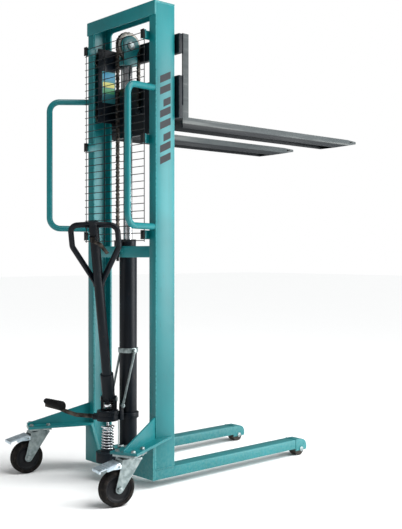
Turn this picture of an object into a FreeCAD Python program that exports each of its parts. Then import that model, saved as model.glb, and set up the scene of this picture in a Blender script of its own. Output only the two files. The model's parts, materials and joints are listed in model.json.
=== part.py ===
import FreeCAD, Part
import math
import os

from FreeCAD import Vector

# Hand hydraulic walkie stacker. X points towards the fork tips, Y to the left, Z up, millimetres.
# Everything is laid out from the rear face of the mast (X = 0) and the middle plane (Y = 0).
# The lift is modelled fully raised; frame_shift then puts the origin under the middle of the box.

# ---- mast -------------------------------------------------------------------
mast_height = 2010.0
mast_width = 494.0
mast_depth = 100.0
flange_width = 45.0
flange_thick = 9.0
web_thick = 7.0
beam_plate = 6.0
beam_rear_height = 58.0
beam_front_height = 38.0
cross_z0 = 952.0
cross_height = 48.0
cross_thick = 12.0

# ---- base and legs ----------------------------------------------------------
base_z0 = 36.0
base_thick = 14.0
base_side_top = 205.0
base_mid_top = 82.0
base_slope_y = 140.0
floor_thick = 9.0
leg_width = 65.0
leg_top = 80.0
leg_wall = 4.0
leg_tube_length = 851.0
nose_radius = 38.0
nose_x = 888.0
nose_wall = 3.5
nose_bottom = 26.0
roller_radius = 32.0
roller_width = 44.0
roller_axle_radius = 8.0

# ---- castor brackets and castors --------------------------------------------
wing_top = 208.0
wing_thick = 10.0
wing_rear_inner = (-271.0, 305.0)
wing_rear_outer = (-220.0, 411.0)
wing_front_x = 84.0
wing_rib_top = 295.0
wing_rib_thick = 8.0
castor_x = -200.0
castor_y = 338.0
castor_plate_turn = 24.0
castor_plate_size = (100.0, 96.0, 8.0)
castor_bolt_pitch = (72.0, 70.0)
castor_bolt_radius = 5.0
castor_bolt_hole = 5.25
castor_yaw = -10.0
castor_trail = 58.0
castor_race_gap = 0.5
wheel_radius = 70.0
wheel_width = 45.0
rim_radius = 52.0
wheel_axle_radius = 6.0
fork_arm_thick = 4.0
fork_arm_gap = 4.0
brake_pivot = (-62.0, 158.0)
brake_reach = 82.0
brake_pin_radius = 4.0
brake_eye_radius = 8.4
brake_side_gap = 0.4

# ---- operator guard and handrails -------------------------------------------
rail_radius = 13.0
rail_wall = 2.5
rail_back = 175.0
rail_out = 43.0
rail_root_inset = 15.0
rail_z0 = 1080.0
rail_z1 = 1640.0
rail_rise = 12.0
rail_bend = 48.0
wire_radius = 1.7
guard_x = -33.0
guard_lap = 10.0
guard_z0 = 1022.0
guard_pitch = 30.6
guard_rows = 29
tab_z = (1046.0, 1443.0, 1872.0)
tab_height = 37.0
tab_thick = 4.0

# ---- hydraulics -------------------------------------------------------------
cylinder_x = 42.0
cylinder_radius = 38.0
cylinder_wall = 8.0
cylinder_z0 = 125.0
cylinder_z1 = 1000.0
gland_step = 4.0
gland_height = 30.0
rod_radius = 18.0
piston_z0 = 900.0
piston_height = 40.0
collar_wall = 8.0
fit_gap = 0.05
pump_x = -66.0
pump_drum_radius = 50.0
pump_barrel_radius = 18.0
pump_barrel_top = 205.0
spring_radius = 28.5
spring_wire = 6.0
spring_z0 = 134.0
spring_z1 = 229.0
valve_place = (-12.0, -30.0)
plunger_radius = 5.5
plunger_top = 326.5
plunger_cap_radius = 15.0

# ---- lift chain and crosshead -----------------------------------------------
sheave_z = 1869.0
chain_pitch_radius = 56.0
chain_height = 12.0
chain_width = 15.0
sheave_flange_radius = 59.0
sheave_width = 22.0
sheave_axle_radius = 12.0
cheek_thick = 8.0
cheek_radius = 45.0
yoke_z0 = 1785.0
yoke_block_height = 27.0
run_gap = 0.5

# ---- carriage and forks -----------------------------------------------------
fork_top = 1542.0
fork_height = 46.0
fork_width = 100.0
fork_pitch = 432.0
fork_plate = 6.0
fork_length = 1150.0
shank_x0 = 128.0
shank_depth = 33.0
shank_top = 1892.0
fork_taper = 190.0
fork_tip_height = 12.0
carriage_bar_thick = 20.0
upper_bar_z = (1807.0, 1889.0)
lower_plate_top = 1714.0
lower_plate_z0 = 1490.0
side_plate_y = 186.0
side_plate_thick = 8.0
side_plate_z = (1560.0, 1890.0)
side_plate_x0 = 16.0
guide_roller_radius = 40.0
guide_roller_width = 26.0
guide_roller_z = (1604.0, 1846.0)
guide_axle_radius = 12.0
chain_lug_z = 1600.0

# ---- tiller and foot pedal --------------------------------------------------
tiller_yaw = 40.0
tiller_lean = 18.0
tiller_pin_x = 20.0
tiller_pin_z = 345.0
tiller_pin_radius = 7.0
tiller_length = 791.0
tiller_tube_radius = 20.0
tiller_socket_radius = 28.0
tiller_socket_length = 118.0
loop_height = 262.0
loop_half_width = 97.0
loop_tube_radius = 11.5
head_z0 = 282.0
head_thick = 18.0
head_radius = 46.0
head_hole = 20.0
lug_y = 24.0
lug_thick = 8.0
bracket_z0 = 258.0
lever_pin_radius = 2.5
pedal_yaw = 40.0
pedal_hub = (14.0, 60.0)
pedal_pin_radius = 4.0
pedal_points = ((8.0, 130.0, 279.0), (2.0, 188.0, 320.0), (2.0, 282.0, 326.0))
pedal_pad_length = 95.0
pedal_pad_radius = 19.0
stay_low = (-20.0, 35.0, 320.0)
stay_high = (40.0, 550.0)
stay_radius = 5.0

half_width = mast_width / 2
rail_root_y = half_width - rail_root_inset
guard_half = half_width - flange_width + guard_lap
cylinder_bore = cylinder_radius - cylinder_wall
gland_radius = cylinder_radius - gland_step
collar_radius = cylinder_radius + collar_wall
lever_z = tiller_length - 62.0
lever_x = -tiller_tube_radius - 6.0
fork_tip_x = shank_x0 + shank_depth + fork_length
brake_tip_x = castor_x + brake_pivot[0] - brake_reach
frame_shift = -(fork_tip_x + brake_tip_x) / 2
leg_y0 = half_width - leg_width
chain_rear_x = cylinder_x - chain_pitch_radius
chain_front_x = cylinder_x + chain_pitch_radius
fork_inner = fork_pitch / 2 - fork_width / 2
fork_outer = fork_pitch / 2 + fork_width / 2
pedal_pin_z = (bracket_z0 + head_z0) / 2
parts = {}


def box(x0, x1, y0, y1, z0, z1):
    return Part.makeBox(x1 - x0, y1 - y0, z1 - z0, Vector(x0, y0, z0))


def rod(start, end, radius):
    a = Vector(*start)
    line = Vector(*end) - a
    return Part.makeCylinder(radius, line.Length, a, line)


def ring(x, y, z0, z1, outer, inner):
    body = rod((x, y, z0), (x, y, z1), outer)
    return body.cut(rod((x, y, z0 - 1), (x, y, z1 + 1), inner))


def plate(points, push):
    """A flat sheet: a closed outline pushed along one vector."""
    corners = [Vector(*p) for p in points]
    return Part.Face(Part.makePolygon(corners + corners[:1])).extrude(Vector(*push))


def hexagon(x, y, z0, z1, across, turn=0.0):
    radius = across / math.sqrt(3)
    corners = []
    for i in range(6):
        a = math.radians(60 * i + turn)
        corners.append((x + radius * math.cos(a), y + radius * math.sin(a), z0))
    return plate(corners, (0, 0, z1 - z0))


def path(points, bend):
    """Straight runs joined by tangent arcs of one radius."""
    points = [Vector(*p) for p in points]
    edges = []
    last = points[0]
    for before, corner, after in zip(points, points[1:], points[2:]):
        back = (before - corner).normalize()
        on = (after - corner).normalize()
        half = back.getAngle(on) / 2
        cut = bend / math.tan(half)
        start = corner + back * cut
        end = corner + on * cut
        middle = corner + (back + on).normalize() * (bend / math.sin(half) - bend)
        edges.append(Part.LineSegment(last, start).toShape())
        edges.append(Part.Arc(start, middle, end).toShape())
        last = end
    edges.append(Part.LineSegment(last, points[-1]).toShape())
    return Part.Wire(edges)


def bent_bar(points, bend, radius):
    line = path(points, bend)
    first = Vector(*points[0])
    along = Vector(*points[1]) - first
    section = Part.Wire(Part.makeCircle(radius, first, along))
    return line.makePipeShell([section], True, False)


def flip(shape):
    return shape.mirror(Vector(0, 0, 0), Vector(0, 1, 0))


def turned(shape, x, y, angle):
    """A copy turned about the vertical line through (x, y)."""
    copy = shape.copy()
    copy.rotate(Vector(x, y, 0), Vector(0, 0, 1), angle)
    return copy


def both_sides(name, shape):
    parts[name + "_left"] = shape
    parts[name + "_right"] = flip(shape)


# ---- frame ------------------------------------------------------------------
def upright():
    y0 = half_width - flange_width
    outline = [(0, y0), (0, half_width), (mast_depth, half_width), (mast_depth, y0)]
    outline += [(mast_depth - flange_thick, y0), (mast_depth - flange_thick, half_width - web_thick)]
    outline += [(flange_thick, half_width - web_thick), (flange_thick, y0)]
    z1 = mast_height - beam_plate
    return plate([(x, y, leg_top) for x, y in outline], (0, 0, z1 - leg_top))


def top_beam():
    z1 = mast_height
    inner = half_width - flange_width
    rear = box(-beam_plate, 0, -half_width, half_width, z1 - beam_rear_height, z1)
    cap = box(-beam_plate, mast_depth, -half_width, half_width, z1 - beam_plate, z1)
    x1 = mast_depth - 3
    low = z1 - beam_front_height
    corner = 20.0
    front = box(x1 - beam_plate, x1, -inner, inner, low - corner, z1 - beam_plate)
    window = box(0, mast_depth, -inner + corner, inner - corner, low - 2 * corner, low)
    window = window.fuse(box(0, mast_depth, -inner + 1, inner - 1, low - 2 * corner, low - corner))
    for side in (-1, 1):
        y = side * (inner - corner)
        window = window.fuse(rod((0, y, low - corner), (mast_depth, y, low - corner), corner - 1))
    return rear.fuse([cap, front.cut(window)]).removeSplitter()


def mid_crossmember():
    y = half_width - flange_width
    z1 = cross_z0 + cross_height
    body = box(0, cross_thick, -y, y, cross_z0, z1)
    lug = box(chain_rear_x - 14, 0, -16, 16, z1 - 24, z1 - 10)
    body = body.fuse(lug)
    band = rod((cylinder_x, 0, cross_z0 + 6), (cylinder_x, 0, z1 - 8), collar_radius)
    body = body.fuse(band)
    body = body.cut(rod((cylinder_x, 0, cross_z0 - 1), (cylinder_x, 0, z1 + 1), cylinder_radius))
    return body.cut(rod((chain_rear_x, 0, cross_z0), (chain_rear_x, 0, z1 + 1), 6.2)).removeSplitter()


def base_crossplate():
    h = half_width
    inner = h - flange_width
    edge = [(h, base_z0), (h, base_side_top), (inner, base_side_top), (base_slope_y, base_mid_top)]
    outline = edge + [(-y, z) for y, z in reversed(edge)]
    rear = plate([(-base_thick, y, z) for y, z in outline], (base_thick, 0, 0))
    floor = box(0, mast_depth, -leg_y0, leg_y0, base_mid_top - floor_thick, base_mid_top)
    return rear.fuse(floor).removeSplitter()


def leg():
    y0, y1 = leg_y0, half_width
    w = leg_wall
    z0 = base_z0 + 1
    tube = box(0, leg_tube_length, y0, y1, z0, leg_top)
    tube = tube.cut(box(w, leg_tube_length + 1, y0 + w, y1 - w, z0 + w, leg_top - w))
    zc = leg_top - nose_radius
    nose = box(leg_tube_length, nose_x, y0, y1, nose_bottom, leg_top)
    nose = nose.fuse(rod((nose_x, y0, zc), (nose_x, y1, zc), nose_radius))
    r = nose_radius - nose_wall
    cheek = 6.0
    hollow = box(leg_tube_length - 1, nose_x, y0 + cheek, y1 - cheek, 0, zc + r)
    hollow = hollow.fuse(rod((nose_x, y0 + cheek, zc), (nose_x, y1 - cheek, zc), r))
    hollow = hollow.fuse(box(nose_x - r, nose_x + r, y0 + cheek, y1 - cheek, 0, zc))
    nose = nose.cut(hollow).cut(box(leg_tube_length - 1, nose_x + 100, y0 - 1, y1 + 1, 0, nose_bottom))
    nose = nose.cut(rod((nose_x, y0 - 1, roller_radius), (nose_x, y1 + 1, roller_radius), roller_axle_radius))
    return tube.fuse(nose).removeSplitter()


def leg_roller():
    y = half_width - leg_width / 2
    w = roller_width / 2
    body = rod((nose_x, y - w, roller_radius), (nose_x, y + w, roller_radius), roller_radius)
    body = body.makeFillet(3.0, [e for e in body.Edges if e.Curve.TypeId == "Part::GeomCircle"])
    bore = roller_axle_radius + fit_gap
    return body.cut(rod((nose_x, y - w - 1, roller_radius), (nose_x, y + w + 1, roller_radius), bore))


def leg_axle():
    y0, y1 = leg_y0, half_width
    z = roller_radius
    pin = rod((nose_x, y0 - 4, z), (nose_x, y1 + 4, z), roller_axle_radius)
    for y in (y0 - 4, y1):
        pin = pin.fuse(rod((nose_x, y, z), (nose_x, y + 4, z), 11.0))
    return pin.removeSplitter()


def castor_bolt_places(side):
    """Bolt centres of one castor plate; side is +1 on the left and -1 on the right."""
    places = []
    a = math.radians(180 - castor_plate_turn)
    for i in (-0.5, 0.5):
        for j in (-0.5, 0.5):
            u, v = i * castor_bolt_pitch[0], j * castor_bolt_pitch[1]
            x = castor_x + u * math.cos(a) - v * math.sin(a)
            y = castor_y + u * math.sin(a) + v * math.cos(a)
            places.append((x, side * y))
    return places


def wing():
    inner = half_width - flange_width
    z0 = wing_top - wing_thick
    outline = [wing_rear_inner, wing_rear_outer, (wing_front_x, half_width), (0, half_width), (0, inner)]
    outline.append((-base_thick, inner))
    body = plate([(x, y, z0) for x, y in outline], (0, 0, wing_thick))
    body = body.cut(box(-base_thick, 0, 0, half_width, 0, base_side_top))
    root = Vector(0, half_width - 8, wing_top)
    tail = Vector(-246, 358, wing_top)
    across = (tail - root).cross(Vector(0, 0, 1)).normalize() * wing_rib_thick
    rise = Vector(0, 0, wing_rib_top - wing_top)
    corners = [root, root + rise, tail + Vector(0, 0, 9), tail]
    rib = Part.Face(Part.makePolygon(corners + corners[:1])).extrude(across)
    rib.translate(across * -0.5)
    rib = rib.cut(box(0, 100, 0, 400, 0, 400))
    body = body.fuse(rib)
    for x, y in castor_bolt_places(1):
        body = body.cut(rod((x, y, z0 - 1), (x, y, wing_top + 1), castor_bolt_hole))
    return body.removeSplitter()


def castor_plate(side):
    length, width, thick = castor_plate_size
    z1 = wing_top - wing_thick
    y = side * castor_y
    body = box(castor_x - length / 2, castor_x + length / 2, y - width / 2, y + width / 2, z1 - thick, z1)
    body = turned(body, castor_x, y, -side * castor_plate_turn)
    for bx, by in castor_bolt_places(side):
        body = body.cut(rod((bx, by, z1 - thick - 1), (bx, by, z1 + 1), castor_bolt_hole))
    return body.cut(rod((castor_x, y, z1 - thick - 1), (castor_x, y, z1 - 0.5), 8 + fit_gap))


def castor_bolts():
    z1 = wing_top
    low = wing_top - wing_thick - castor_plate_size[2]
    bolts = []
    for side in (-1, 1):
        for x, y in castor_bolt_places(side):
            bolt = rod((x, y, low - 7.5), (x, y, z1), castor_bolt_radius)
            bolt = bolt.fuse([hexagon(x, y, z1, z1 + 7, 17, 20), hexagon(x, y, low - 7, low, 17, 20)])
            bolts.append(bolt.removeSplitter())
    return Part.makeCompound(bolts)


# ---- castors ----------------------------------------------------------------
# Modelled trailing straight back about (castor_x, side * castor_y), then turned by the yaw.
def castor_local(shape, side):
    shape.translate(Vector(castor_x, side * castor_y, 0))
    return turned(shape, castor_x, side * castor_y, castor_yaw)


def castor_fork():
    top = wing_top - wing_thick - castor_plate_size[2] - castor_race_gap
    gap = wheel_width / 2 + fork_arm_gap
    arm = [(38, top - 12), (-46, top - 12), (-castor_trail - 15, wheel_radius + 6)]
    arm += [(-castor_trail + 14, wheel_radius - 8)]
    side = plate([(x, gap, z) for x, z in arm], (0, fork_arm_thick, 0))
    hub = rod((-castor_trail, gap, wheel_radius), (-castor_trail, gap + fork_arm_thick, wheel_radius), 16)
    side = side.fuse(hub)
    w = gap + fork_arm_thick
    crown = box(-46, 38, -w, w, top - 16, top - 8)
    race = rod((0, 0, top - 8), (0, 0, top), 34)
    king = rod((0, 0, top - 8), (0, 0, top + castor_race_gap + 6), 8)
    px, pz = brake_pivot
    link = [(px, pz - 6), (-42, pz - 6), (-42, pz + 6), (px, pz + 6)]
    eye = plate([(x, gap, z) for x, z in link], (0, fork_arm_thick, 0))
    eye = eye.fuse(rod((px, gap, pz), (px, w, pz), brake_eye_radius))
    pin = rod((px, -w - 5, pz), (px, w + 5, pz), brake_pin_radius)
    body = side.fuse([flip(side), crown, race, king, eye, flip(eye), pin])
    body = body.cut(rod((-castor_trail, -w - 1, wheel_radius), (-castor_trail, w + 1, wheel_radius), 6))
    return body.removeSplitter()


def castor_axle():
    w = wheel_width / 2 + fork_arm_gap + fork_arm_thick
    x = -castor_trail
    pin = rod((x, -w - 8, wheel_radius), (x, w + 8, wheel_radius), wheel_axle_radius)
    for y in (-w - 7, w):
        nut = hexagon(0, 0, 0, 7, 18)
        nut.rotate(Vector(0, 0, 0), Vector(1, 0, 0), -90)
        nut.translate(Vector(x, y, wheel_radius))
        pin = pin.fuse(nut)
    return pin.removeSplitter()


def wheel_ring(outer, inner, width):
    x, z, w = -castor_trail, wheel_radius, width / 2
    body = rod((x, -w, z), (x, w, z), outer)
    return body.cut(rod((x, -w - 1, z), (x, w + 1, z), inner))


def castor_tyre():
    x, z, w = -castor_trail, wheel_radius, wheel_width / 2
    body = rod((x, -w, z), (x, w, z), wheel_radius)
    body = body.makeFillet(7.0, [e for e in body.Edges if e.Curve.TypeId == "Part::GeomCircle"])
    return body.cut(rod((x, -w - 1, z), (x, w + 1, z), rim_radius))


def castor_hub():
    boss = wheel_ring(18.0, wheel_axle_radius + fit_gap, wheel_width + 2 * fork_arm_gap - 1)
    return wheel_ring(rim_radius, wheel_axle_radius + fit_gap, 30.0).fuse(boss).removeSplitter()


def brake_pedal():
    x, z = brake_pivot
    w = wheel_width / 2 + fork_arm_gap + fork_arm_thick + brake_side_gap
    top = box(x - brake_reach, x + 6, -w - 3, w + 3, z + 9, z + 13)
    side = plate([(x + 12, w, z - 10), (x + 12, w, z + 9), (x - 56, w, z + 9), (x - 30, w, z - 6)], (0, 3, 0))
    body = top.fuse([side, flip(side)])
    return body.cut(rod((x, -w - 9, z), (x, w + 9, z), brake_pin_radius + fit_gap)).removeSplitter()


# ---- handrails and guard ----------------------------------------------------
def handrail():
    tail_y = half_width + rail_out
    slope = (rail_root_y - tail_y) / rail_back
    rise = rail_rise / rail_back
    deep = 12.0
    low = (deep, rail_root_y + slope * deep, rail_z0 - rise * deep)
    high = (deep, rail_root_y + slope * deep, rail_z1 + rail_rise + rise * deep)
    points = [low, (-rail_back, tail_y, rail_z0), (-rail_back, tail_y, rail_z1), high]
    tube = bent_bar(points, rail_bend, rail_radius).cut(bent_bar(points, rail_bend, rail_radius - rail_wall))
    return tube.cut(box(0, 60, 0, 400, 900, 1800))


def guard_mesh():
    wires = []
    z1 = guard_z0 + guard_pitch * (guard_rows - 1)
    for i in range(4):
        y = -guard_half + i * 2 * guard_half / 3
        wires.append(rod((guard_x, y, guard_z0 - 5), (guard_x, y, z1 + 5), wire_radius))
    for i in range(guard_rows):
        z = guard_z0 + i * guard_pitch
        x = guard_x - 2 * wire_radius
        wires.append(rod((x, -guard_half - 4, z), (x, guard_half + 4, z), wire_radius))
    return Part.makeCompound(wires)


def guard_tabs():
    tabs = []
    inner = half_width - flange_width
    lip_x = guard_x + wire_radius
    for z in tab_z:
        z0, z1 = z - tab_height / 2, z + tab_height / 2
        tab = box(lip_x, flange_thick, inner - tab_thick, inner, z0, z1)
        tab = tab.fuse(box(lip_x, lip_x + tab_thick, inner - tab_thick, inner + 16, z0, z1)).removeSplitter()
        tabs += [tab, flip(tab)]
    return Part.makeCompound(tabs)


def guard_clips():
    clips = []
    y = half_width - flange_width + 3
    x0 = guard_x - 3 * wire_radius
    for z in tab_z:
        clip = box(x0 - 3, x0, y - 8, y + 14, z - 19, z + 19)
        clip = clip.fuse(rod((x0 - 8, y, z + 12), (guard_x + wire_radius, y, z + 12), 2.5))
        clip = clip.removeSplitter()
        clips += [clip, flip(clip)]
    return Part.makeCompound(clips)


# ---- hydraulics -------------------------------------------------------------
# The foot pedal is modelled standing out to the left of the pump, then turned about it.
def pedal_side(shape):
    shape.translate(Vector(pump_x, 0, 0))
    return turned(shape, pump_x, 0, pedal_yaw)


def lift_cylinder():
    tube = ring(cylinder_x, 0, cylinder_z0, cylinder_z1, cylinder_radius, cylinder_bore)
    return tube.fuse(rod((cylinder_x, 0, cylinder_z0), (cylinder_x, 0, cylinder_z0 + 12), cylinder_radius))


def cylinder_gland():
    z = cylinder_z1
    body = ring(cylinder_x, 0, z, z + gland_height, gland_radius, rod_radius + fit_gap)
    return body.fuse(ring(cylinder_x, 0, z - 25, z, cylinder_bore, rod_radius + fit_gap)).removeSplitter()


def pump_body():
    z0, z1 = base_mid_top, cylinder_z0
    drum = rod((pump_x, 0, z0), (pump_x, 0, z1), pump_drum_radius)
    block = box(pump_x, cylinder_x, -40, 40, z0, z1 - 6)
    seat = rod((cylinder_x, 0, z0), (cylinder_x, 0, z1), collar_radius)
    barrel = rod((pump_x, 0, z1), (pump_x, 0, pump_barrel_top), pump_barrel_radius)
    spring_foot = rod((pump_x, 0, z1), (pump_x, 0, spring_z0), spring_radius + 2)
    body = drum.fuse([block, seat, barrel, spring_foot]).removeSplitter()
    return body.cut(rod((pump_x, 0, z0 + 8), (pump_x, 0, pump_barrel_top + 1), plunger_radius + fit_gap))


def release_valve():
    x, y = valve_place
    z0 = cylinder_z0 - 6
    body = rod((x, y, z0), (x, y, z0 + 20), 9).fuse(hexagon(x, y, z0 + 20, z0 + 26, 16))
    arm = box(x - 24, x + 4, y - 4, y + 4, z0 + 26, z0 + 30)
    link = rod((x - 20, y, z0 + 30), (x - 20, y, bracket_z0 - 1), 2.0)
    return body.fuse([arm, link]).removeSplitter()


def pump_bracket():
    """Fixed bracket: a collar on the cylinder, an arm, and the bearing ring under the tiller head."""
    z0, z1 = bracket_z0, head_z0 - run_gap
    collar = rod((cylinder_x, 0, z0), (cylinder_x, 0, z1), collar_radius)
    arm = box(pump_x, cylinder_x, -22, 22, z0, z1)
    seat = rod((pump_x, 0, z0), (pump_x, 0, z1), head_radius)
    ears = []
    for side in (-1, 1):
        x, y, z = stay_low
        y = side * y
        ears.append(box(x - 9, x + 9, y - 5, y + 5, z0, z + 8))
        ears.append(box(x - 9, x + 9, min(y, side * 20), max(y, side * 20), z0, z1))
    body = collar.fuse([arm, seat] + ears)
    body = body.cut(rod((cylinder_x, 0, z0 - 1), (cylinder_x, 0, z1 + 1), cylinder_radius))
    body = body.cut(rod((pump_x, 0, z0 - 1), (pump_x, 0, z1 + 1), head_hole))
    x, y, z = stay_low
    body = body.cut(rod((x, -60, z), (x, 60, z), 4))
    body = body.cut(rod((pump_x, 0, z1), (pump_x, 0, z1 + 60), head_radius + 2))
    return body.fuse(pedal_ears(z0, z1)).removeSplitter()


def pedal_ears(z0, z1):
    """Two ears with the pivot pin of the foot pedal."""
    x, y = pedal_hub
    reach = 2 * pedal_pin_radius
    ears = box(x - 13, x - 7, head_radius - 12, y + reach, z0, z1)
    ears = ears.fuse(box(x + 7, x + 13, head_radius - 12, y + reach, z0, z1))
    pin = rod((x - 17, y, pedal_pin_z), (x + 17, y, pedal_pin_z), pedal_pin_radius)
    return pedal_side(ears.fuse(pin))


def stay_rods():
    """Two braces from the pump bracket up to a collar on the cylinder."""
    x1, z1 = stay_high
    solids = [ring(cylinder_x, 0, z1 - 10, z1 + 10, collar_radius - 3, cylinder_radius)]
    for side in (-1, 1):
        x0, y0, z0 = stay_low
        brace = rod((x0, side * (y0 + 10.5), z0), (x1, side * (collar_radius + 5), z1), stay_radius)
        eye = rod((x0, side * (y0 + 5), z0), (x0, side * (y0 + 15), z0), 9)
        head = rod((x1, side * (collar_radius - 4), z1), (x1, side * (collar_radius + 11), z1), 8)
        brace = brace.fuse([eye, head])
        solids.append(brace.cut(solids[0]).removeSplitter())
    return Part.makeCompound(solids)


def plunger():
    top = plunger_top
    body = rod((pump_x, 0, pump_barrel_top - 70), (pump_x, 0, top - 12), plunger_radius)
    cap = rod((pump_x, 0, top - 12), (pump_x, 0, top), plunger_cap_radius)
    seat = rod((pump_x, 0, spring_z1), (pump_x, 0, spring_z1 + 5), spring_radius)
    return body.fuse([cap, seat]).removeSplitter()


# ---- crosshead, sheave and chain --------------------------------------------
def piston_rod():
    x = cylinder_x
    body = rod((x, 0, piston_z0), (x, 0, yoke_z0 + 12), rod_radius)
    piston = rod((x, 0, piston_z0), (x, 0, piston_z0 + piston_height), cylinder_bore - run_gap)
    return body.fuse(piston).removeSplitter()


def crosshead_yoke():
    x = cylinder_x
    y0 = sheave_width / 2 + run_gap
    y1 = y0 + cheek_thick
    side = box(x - 34, x + 34, y0, y1, yoke_z0, sheave_z)
    side = side.fuse(rod((x, y0, sheave_z), (x, y1, sheave_z), cheek_radius))
    block = box(x - 34, x + 34, -y1, y1, yoke_z0, yoke_z0 + yoke_block_height - 6)
    body = side.fuse([flip(side), block])
    body = body.cut(rod((x, -y1 - 1, sheave_z), (x, y1 + 1, sheave_z), sheave_axle_radius))
    return body.cut(rod((x, 0, yoke_z0 - 1), (x, 0, yoke_z0 + 12), rod_radius)).removeSplitter()


def sheave_axle():
    x, y = cylinder_x, sheave_width / 2 + run_gap + cheek_thick
    pin = rod((x, -y - 9, sheave_z), (x, y + 9, sheave_z), sheave_axle_radius)
    for side in (-y - 5, y):
        pin = pin.fuse(rod((x, side, sheave_z), (x, side + 5, sheave_z), sheave_axle_radius + 5))
    return pin.removeSplitter()


def sheave():
    x, w = cylinder_x, sheave_width / 2
    root = chain_pitch_radius - chain_height / 2 - 0.3
    rim = rod((x, -w, sheave_z), (x, w, sheave_z), sheave_flange_radius)
    track = rod((x, -chain_width / 2 - 0.7, sheave_z), (x, chain_width / 2 + 0.7, sheave_z), 90)
    core = rod((x, -w, sheave_z), (x, w, sheave_z), root)
    bore = rod((x, -w - 1, sheave_z), (x, w + 1, sheave_z), sheave_axle_radius + fit_gap)
    return rim.cut(track).fuse(core).cut(bore).removeSplitter()


def chain_strand(x, z0, z1):
    h, w = chain_height / 2, chain_width / 2
    return box(x - h, x + h, -w, w, z0, z1)


def chain_wrap():
    x, w = cylinder_x, chain_width / 2
    outer = chain_pitch_radius + chain_height / 2
    body = rod((x, -w, sheave_z), (x, w, sheave_z), outer)
    body = body.cut(rod((x, -w - 1, sheave_z), (x, w + 1, sheave_z), outer - chain_height))
    return body.common(box(x - 100, x + 100, -50, 50, sheave_z, sheave_z + 100))


chain_anchor_top = cross_z0 + cross_height + 26.0


def chain_anchor():
    x, z = chain_rear_x, cross_z0 + cross_height
    body = rod((x, 0, cross_z0 - 16), (x, 0, z + 6), 6)
    clevis = box(x - 10, x + 10, -12, 12, z - 2, chain_anchor_top)
    return body.fuse([clevis, hexagon(x, 0, z - 34, z - 24, 17), hexagon(x, 0, z - 10, z - 2, 17)])


# ---- carriage ---------------------------------------------------------------
def carriage_side():
    y0 = side_plate_y
    body = box(side_plate_x0, shank_x0 - carriage_bar_thick, y0, y0 + side_plate_thick, *side_plate_z)
    for z in guide_roller_z:
        end = half_width - web_thick - 2
        body = body.fuse(rod((mast_depth / 2, y0 - 7, z), (mast_depth / 2, end, z), guide_axle_radius))
        body = body.fuse(rod((mast_depth / 2, y0 + side_plate_thick, z), (mast_depth / 2, y0 + 15, z), 20))
    return body.removeSplitter()


def guide_rollers(z):
    x = mast_depth / 2
    y1 = half_width - web_thick - 3
    body = rod((x, y1 - guide_roller_width, z), (x, y1, z), guide_roller_radius)
    body = body.makeFillet(2.0, [e for e in body.Edges if e.Curve.TypeId == "Part::GeomCircle"])
    body = body.cut(rod((x, y1 - 60, z), (x, y1 + 1, z), guide_axle_radius + fit_gap))
    return Part.makeCompound([body, flip(body)])


def carriage_upper_bar():
    x1 = shank_x0
    return box(x1 - carriage_bar_thick, x1, -fork_outer, fork_outer, *upper_bar_z)


def carriage_lower_plate():
    """Front plate of the carriage, notched so that it drops over the legs, with the chain lug."""
    x0, x1 = shank_x0 - carriage_bar_thick, shank_x0
    body = box(x0, x1, -fork_outer, fork_outer, lower_plate_z0, lower_plate_top)
    for y in (-fork_outer, fork_inner + fork_plate):
        notch = fork_width - fork_plate
        body = body.cut(box(x0 - 1, x1 + 1, y, y + notch, lower_plate_z0 - 1, fork_top - fork_plate))
    lug = box(chain_front_x - 6, x0, -14, 14, chain_lug_z - 16, chain_lug_z)
    return body.fuse(lug).removeSplitter()


def fork():
    """An open channel that drops over the leg: two side plates, a top plate and a sloping toe."""
    x0, x1 = shank_x0, fork_tip_x
    z0, z1 = fork_top - fork_height, fork_top
    toe_x = x1 - fork_taper
    toe_z = fork_top - fork_tip_height
    heel = x0 + shank_depth
    outline = [(x0, z0), (x0, shank_top), (heel, shank_top), (heel, z1), (x1, z1), (x1, toe_z), (toe_x, z0)]
    body = None
    for y in (fork_inner, fork_outer - fork_plate):
        side = plate([(x, y, z) for x, z in outline], (0, fork_plate, 0))
        body = side if body is None else body.fuse(side)
    top = box(x0, x1, fork_inner, fork_outer, z1 - fork_plate, z1)
    toe = [(toe_x, z0), (x1, toe_z), (x1, z1), (toe_x, z0 + fork_plate)]
    body = body.fuse([top, plate([(x, fork_inner, z) for x, z in toe], (0, fork_width, 0))])
    for y, sign in ((fork_inner, 1), (fork_outer, -1)):
        corner = [(x1 - 95, y, 0), (x1 + 1, y, 0), (x1 + 1, y + sign * 24, 0)]
        body = body.cut(plate([(px, py, z0 - 1) for px, py, _ in corner], (0, 0, fork_height + 2)))
    return body.removeSplitter()


# ---- tiller -----------------------------------------------------------------
# Modelled leaning straight back over the pump, then turned by the yaw about the pump.
def tiller_side(shape):
    shape.translate(Vector(pump_x, 0, 0))
    return turned(shape, pump_x, 0, tiller_yaw)


def along_tiller(shape):
    """Lean a shape that was made upright over the hinge pin, with its pin at the origin."""
    shape.rotate(Vector(0, 0, 0), Vector(0, 1, 0), -tiller_lean)
    shape.translate(Vector(tiller_pin_x, 0, tiller_pin_z))
    return tiller_side(shape)


def tiller_head():
    z0, z1 = head_z0, head_z0 + head_thick
    body = ring(0, 0, z0, z1, head_radius, head_hole)
    for side in (-1, 1):
        y0, y1 = sorted((side * lug_y, side * (lug_y + lug_thick)))
        lug = box(tiller_pin_x - 16, tiller_pin_x + 14, y0, y1, z1, tiller_pin_z)
        lug = lug.fuse(rod((tiller_pin_x, y0, tiller_pin_z), (tiller_pin_x, y1, tiller_pin_z), 16))
        body = body.fuse(lug)
    body = body.cut(rod((tiller_pin_x, -60, tiller_pin_z), (tiller_pin_x, 60, tiller_pin_z), tiller_pin_radius))
    return tiller_side(body.removeSplitter())


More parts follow.
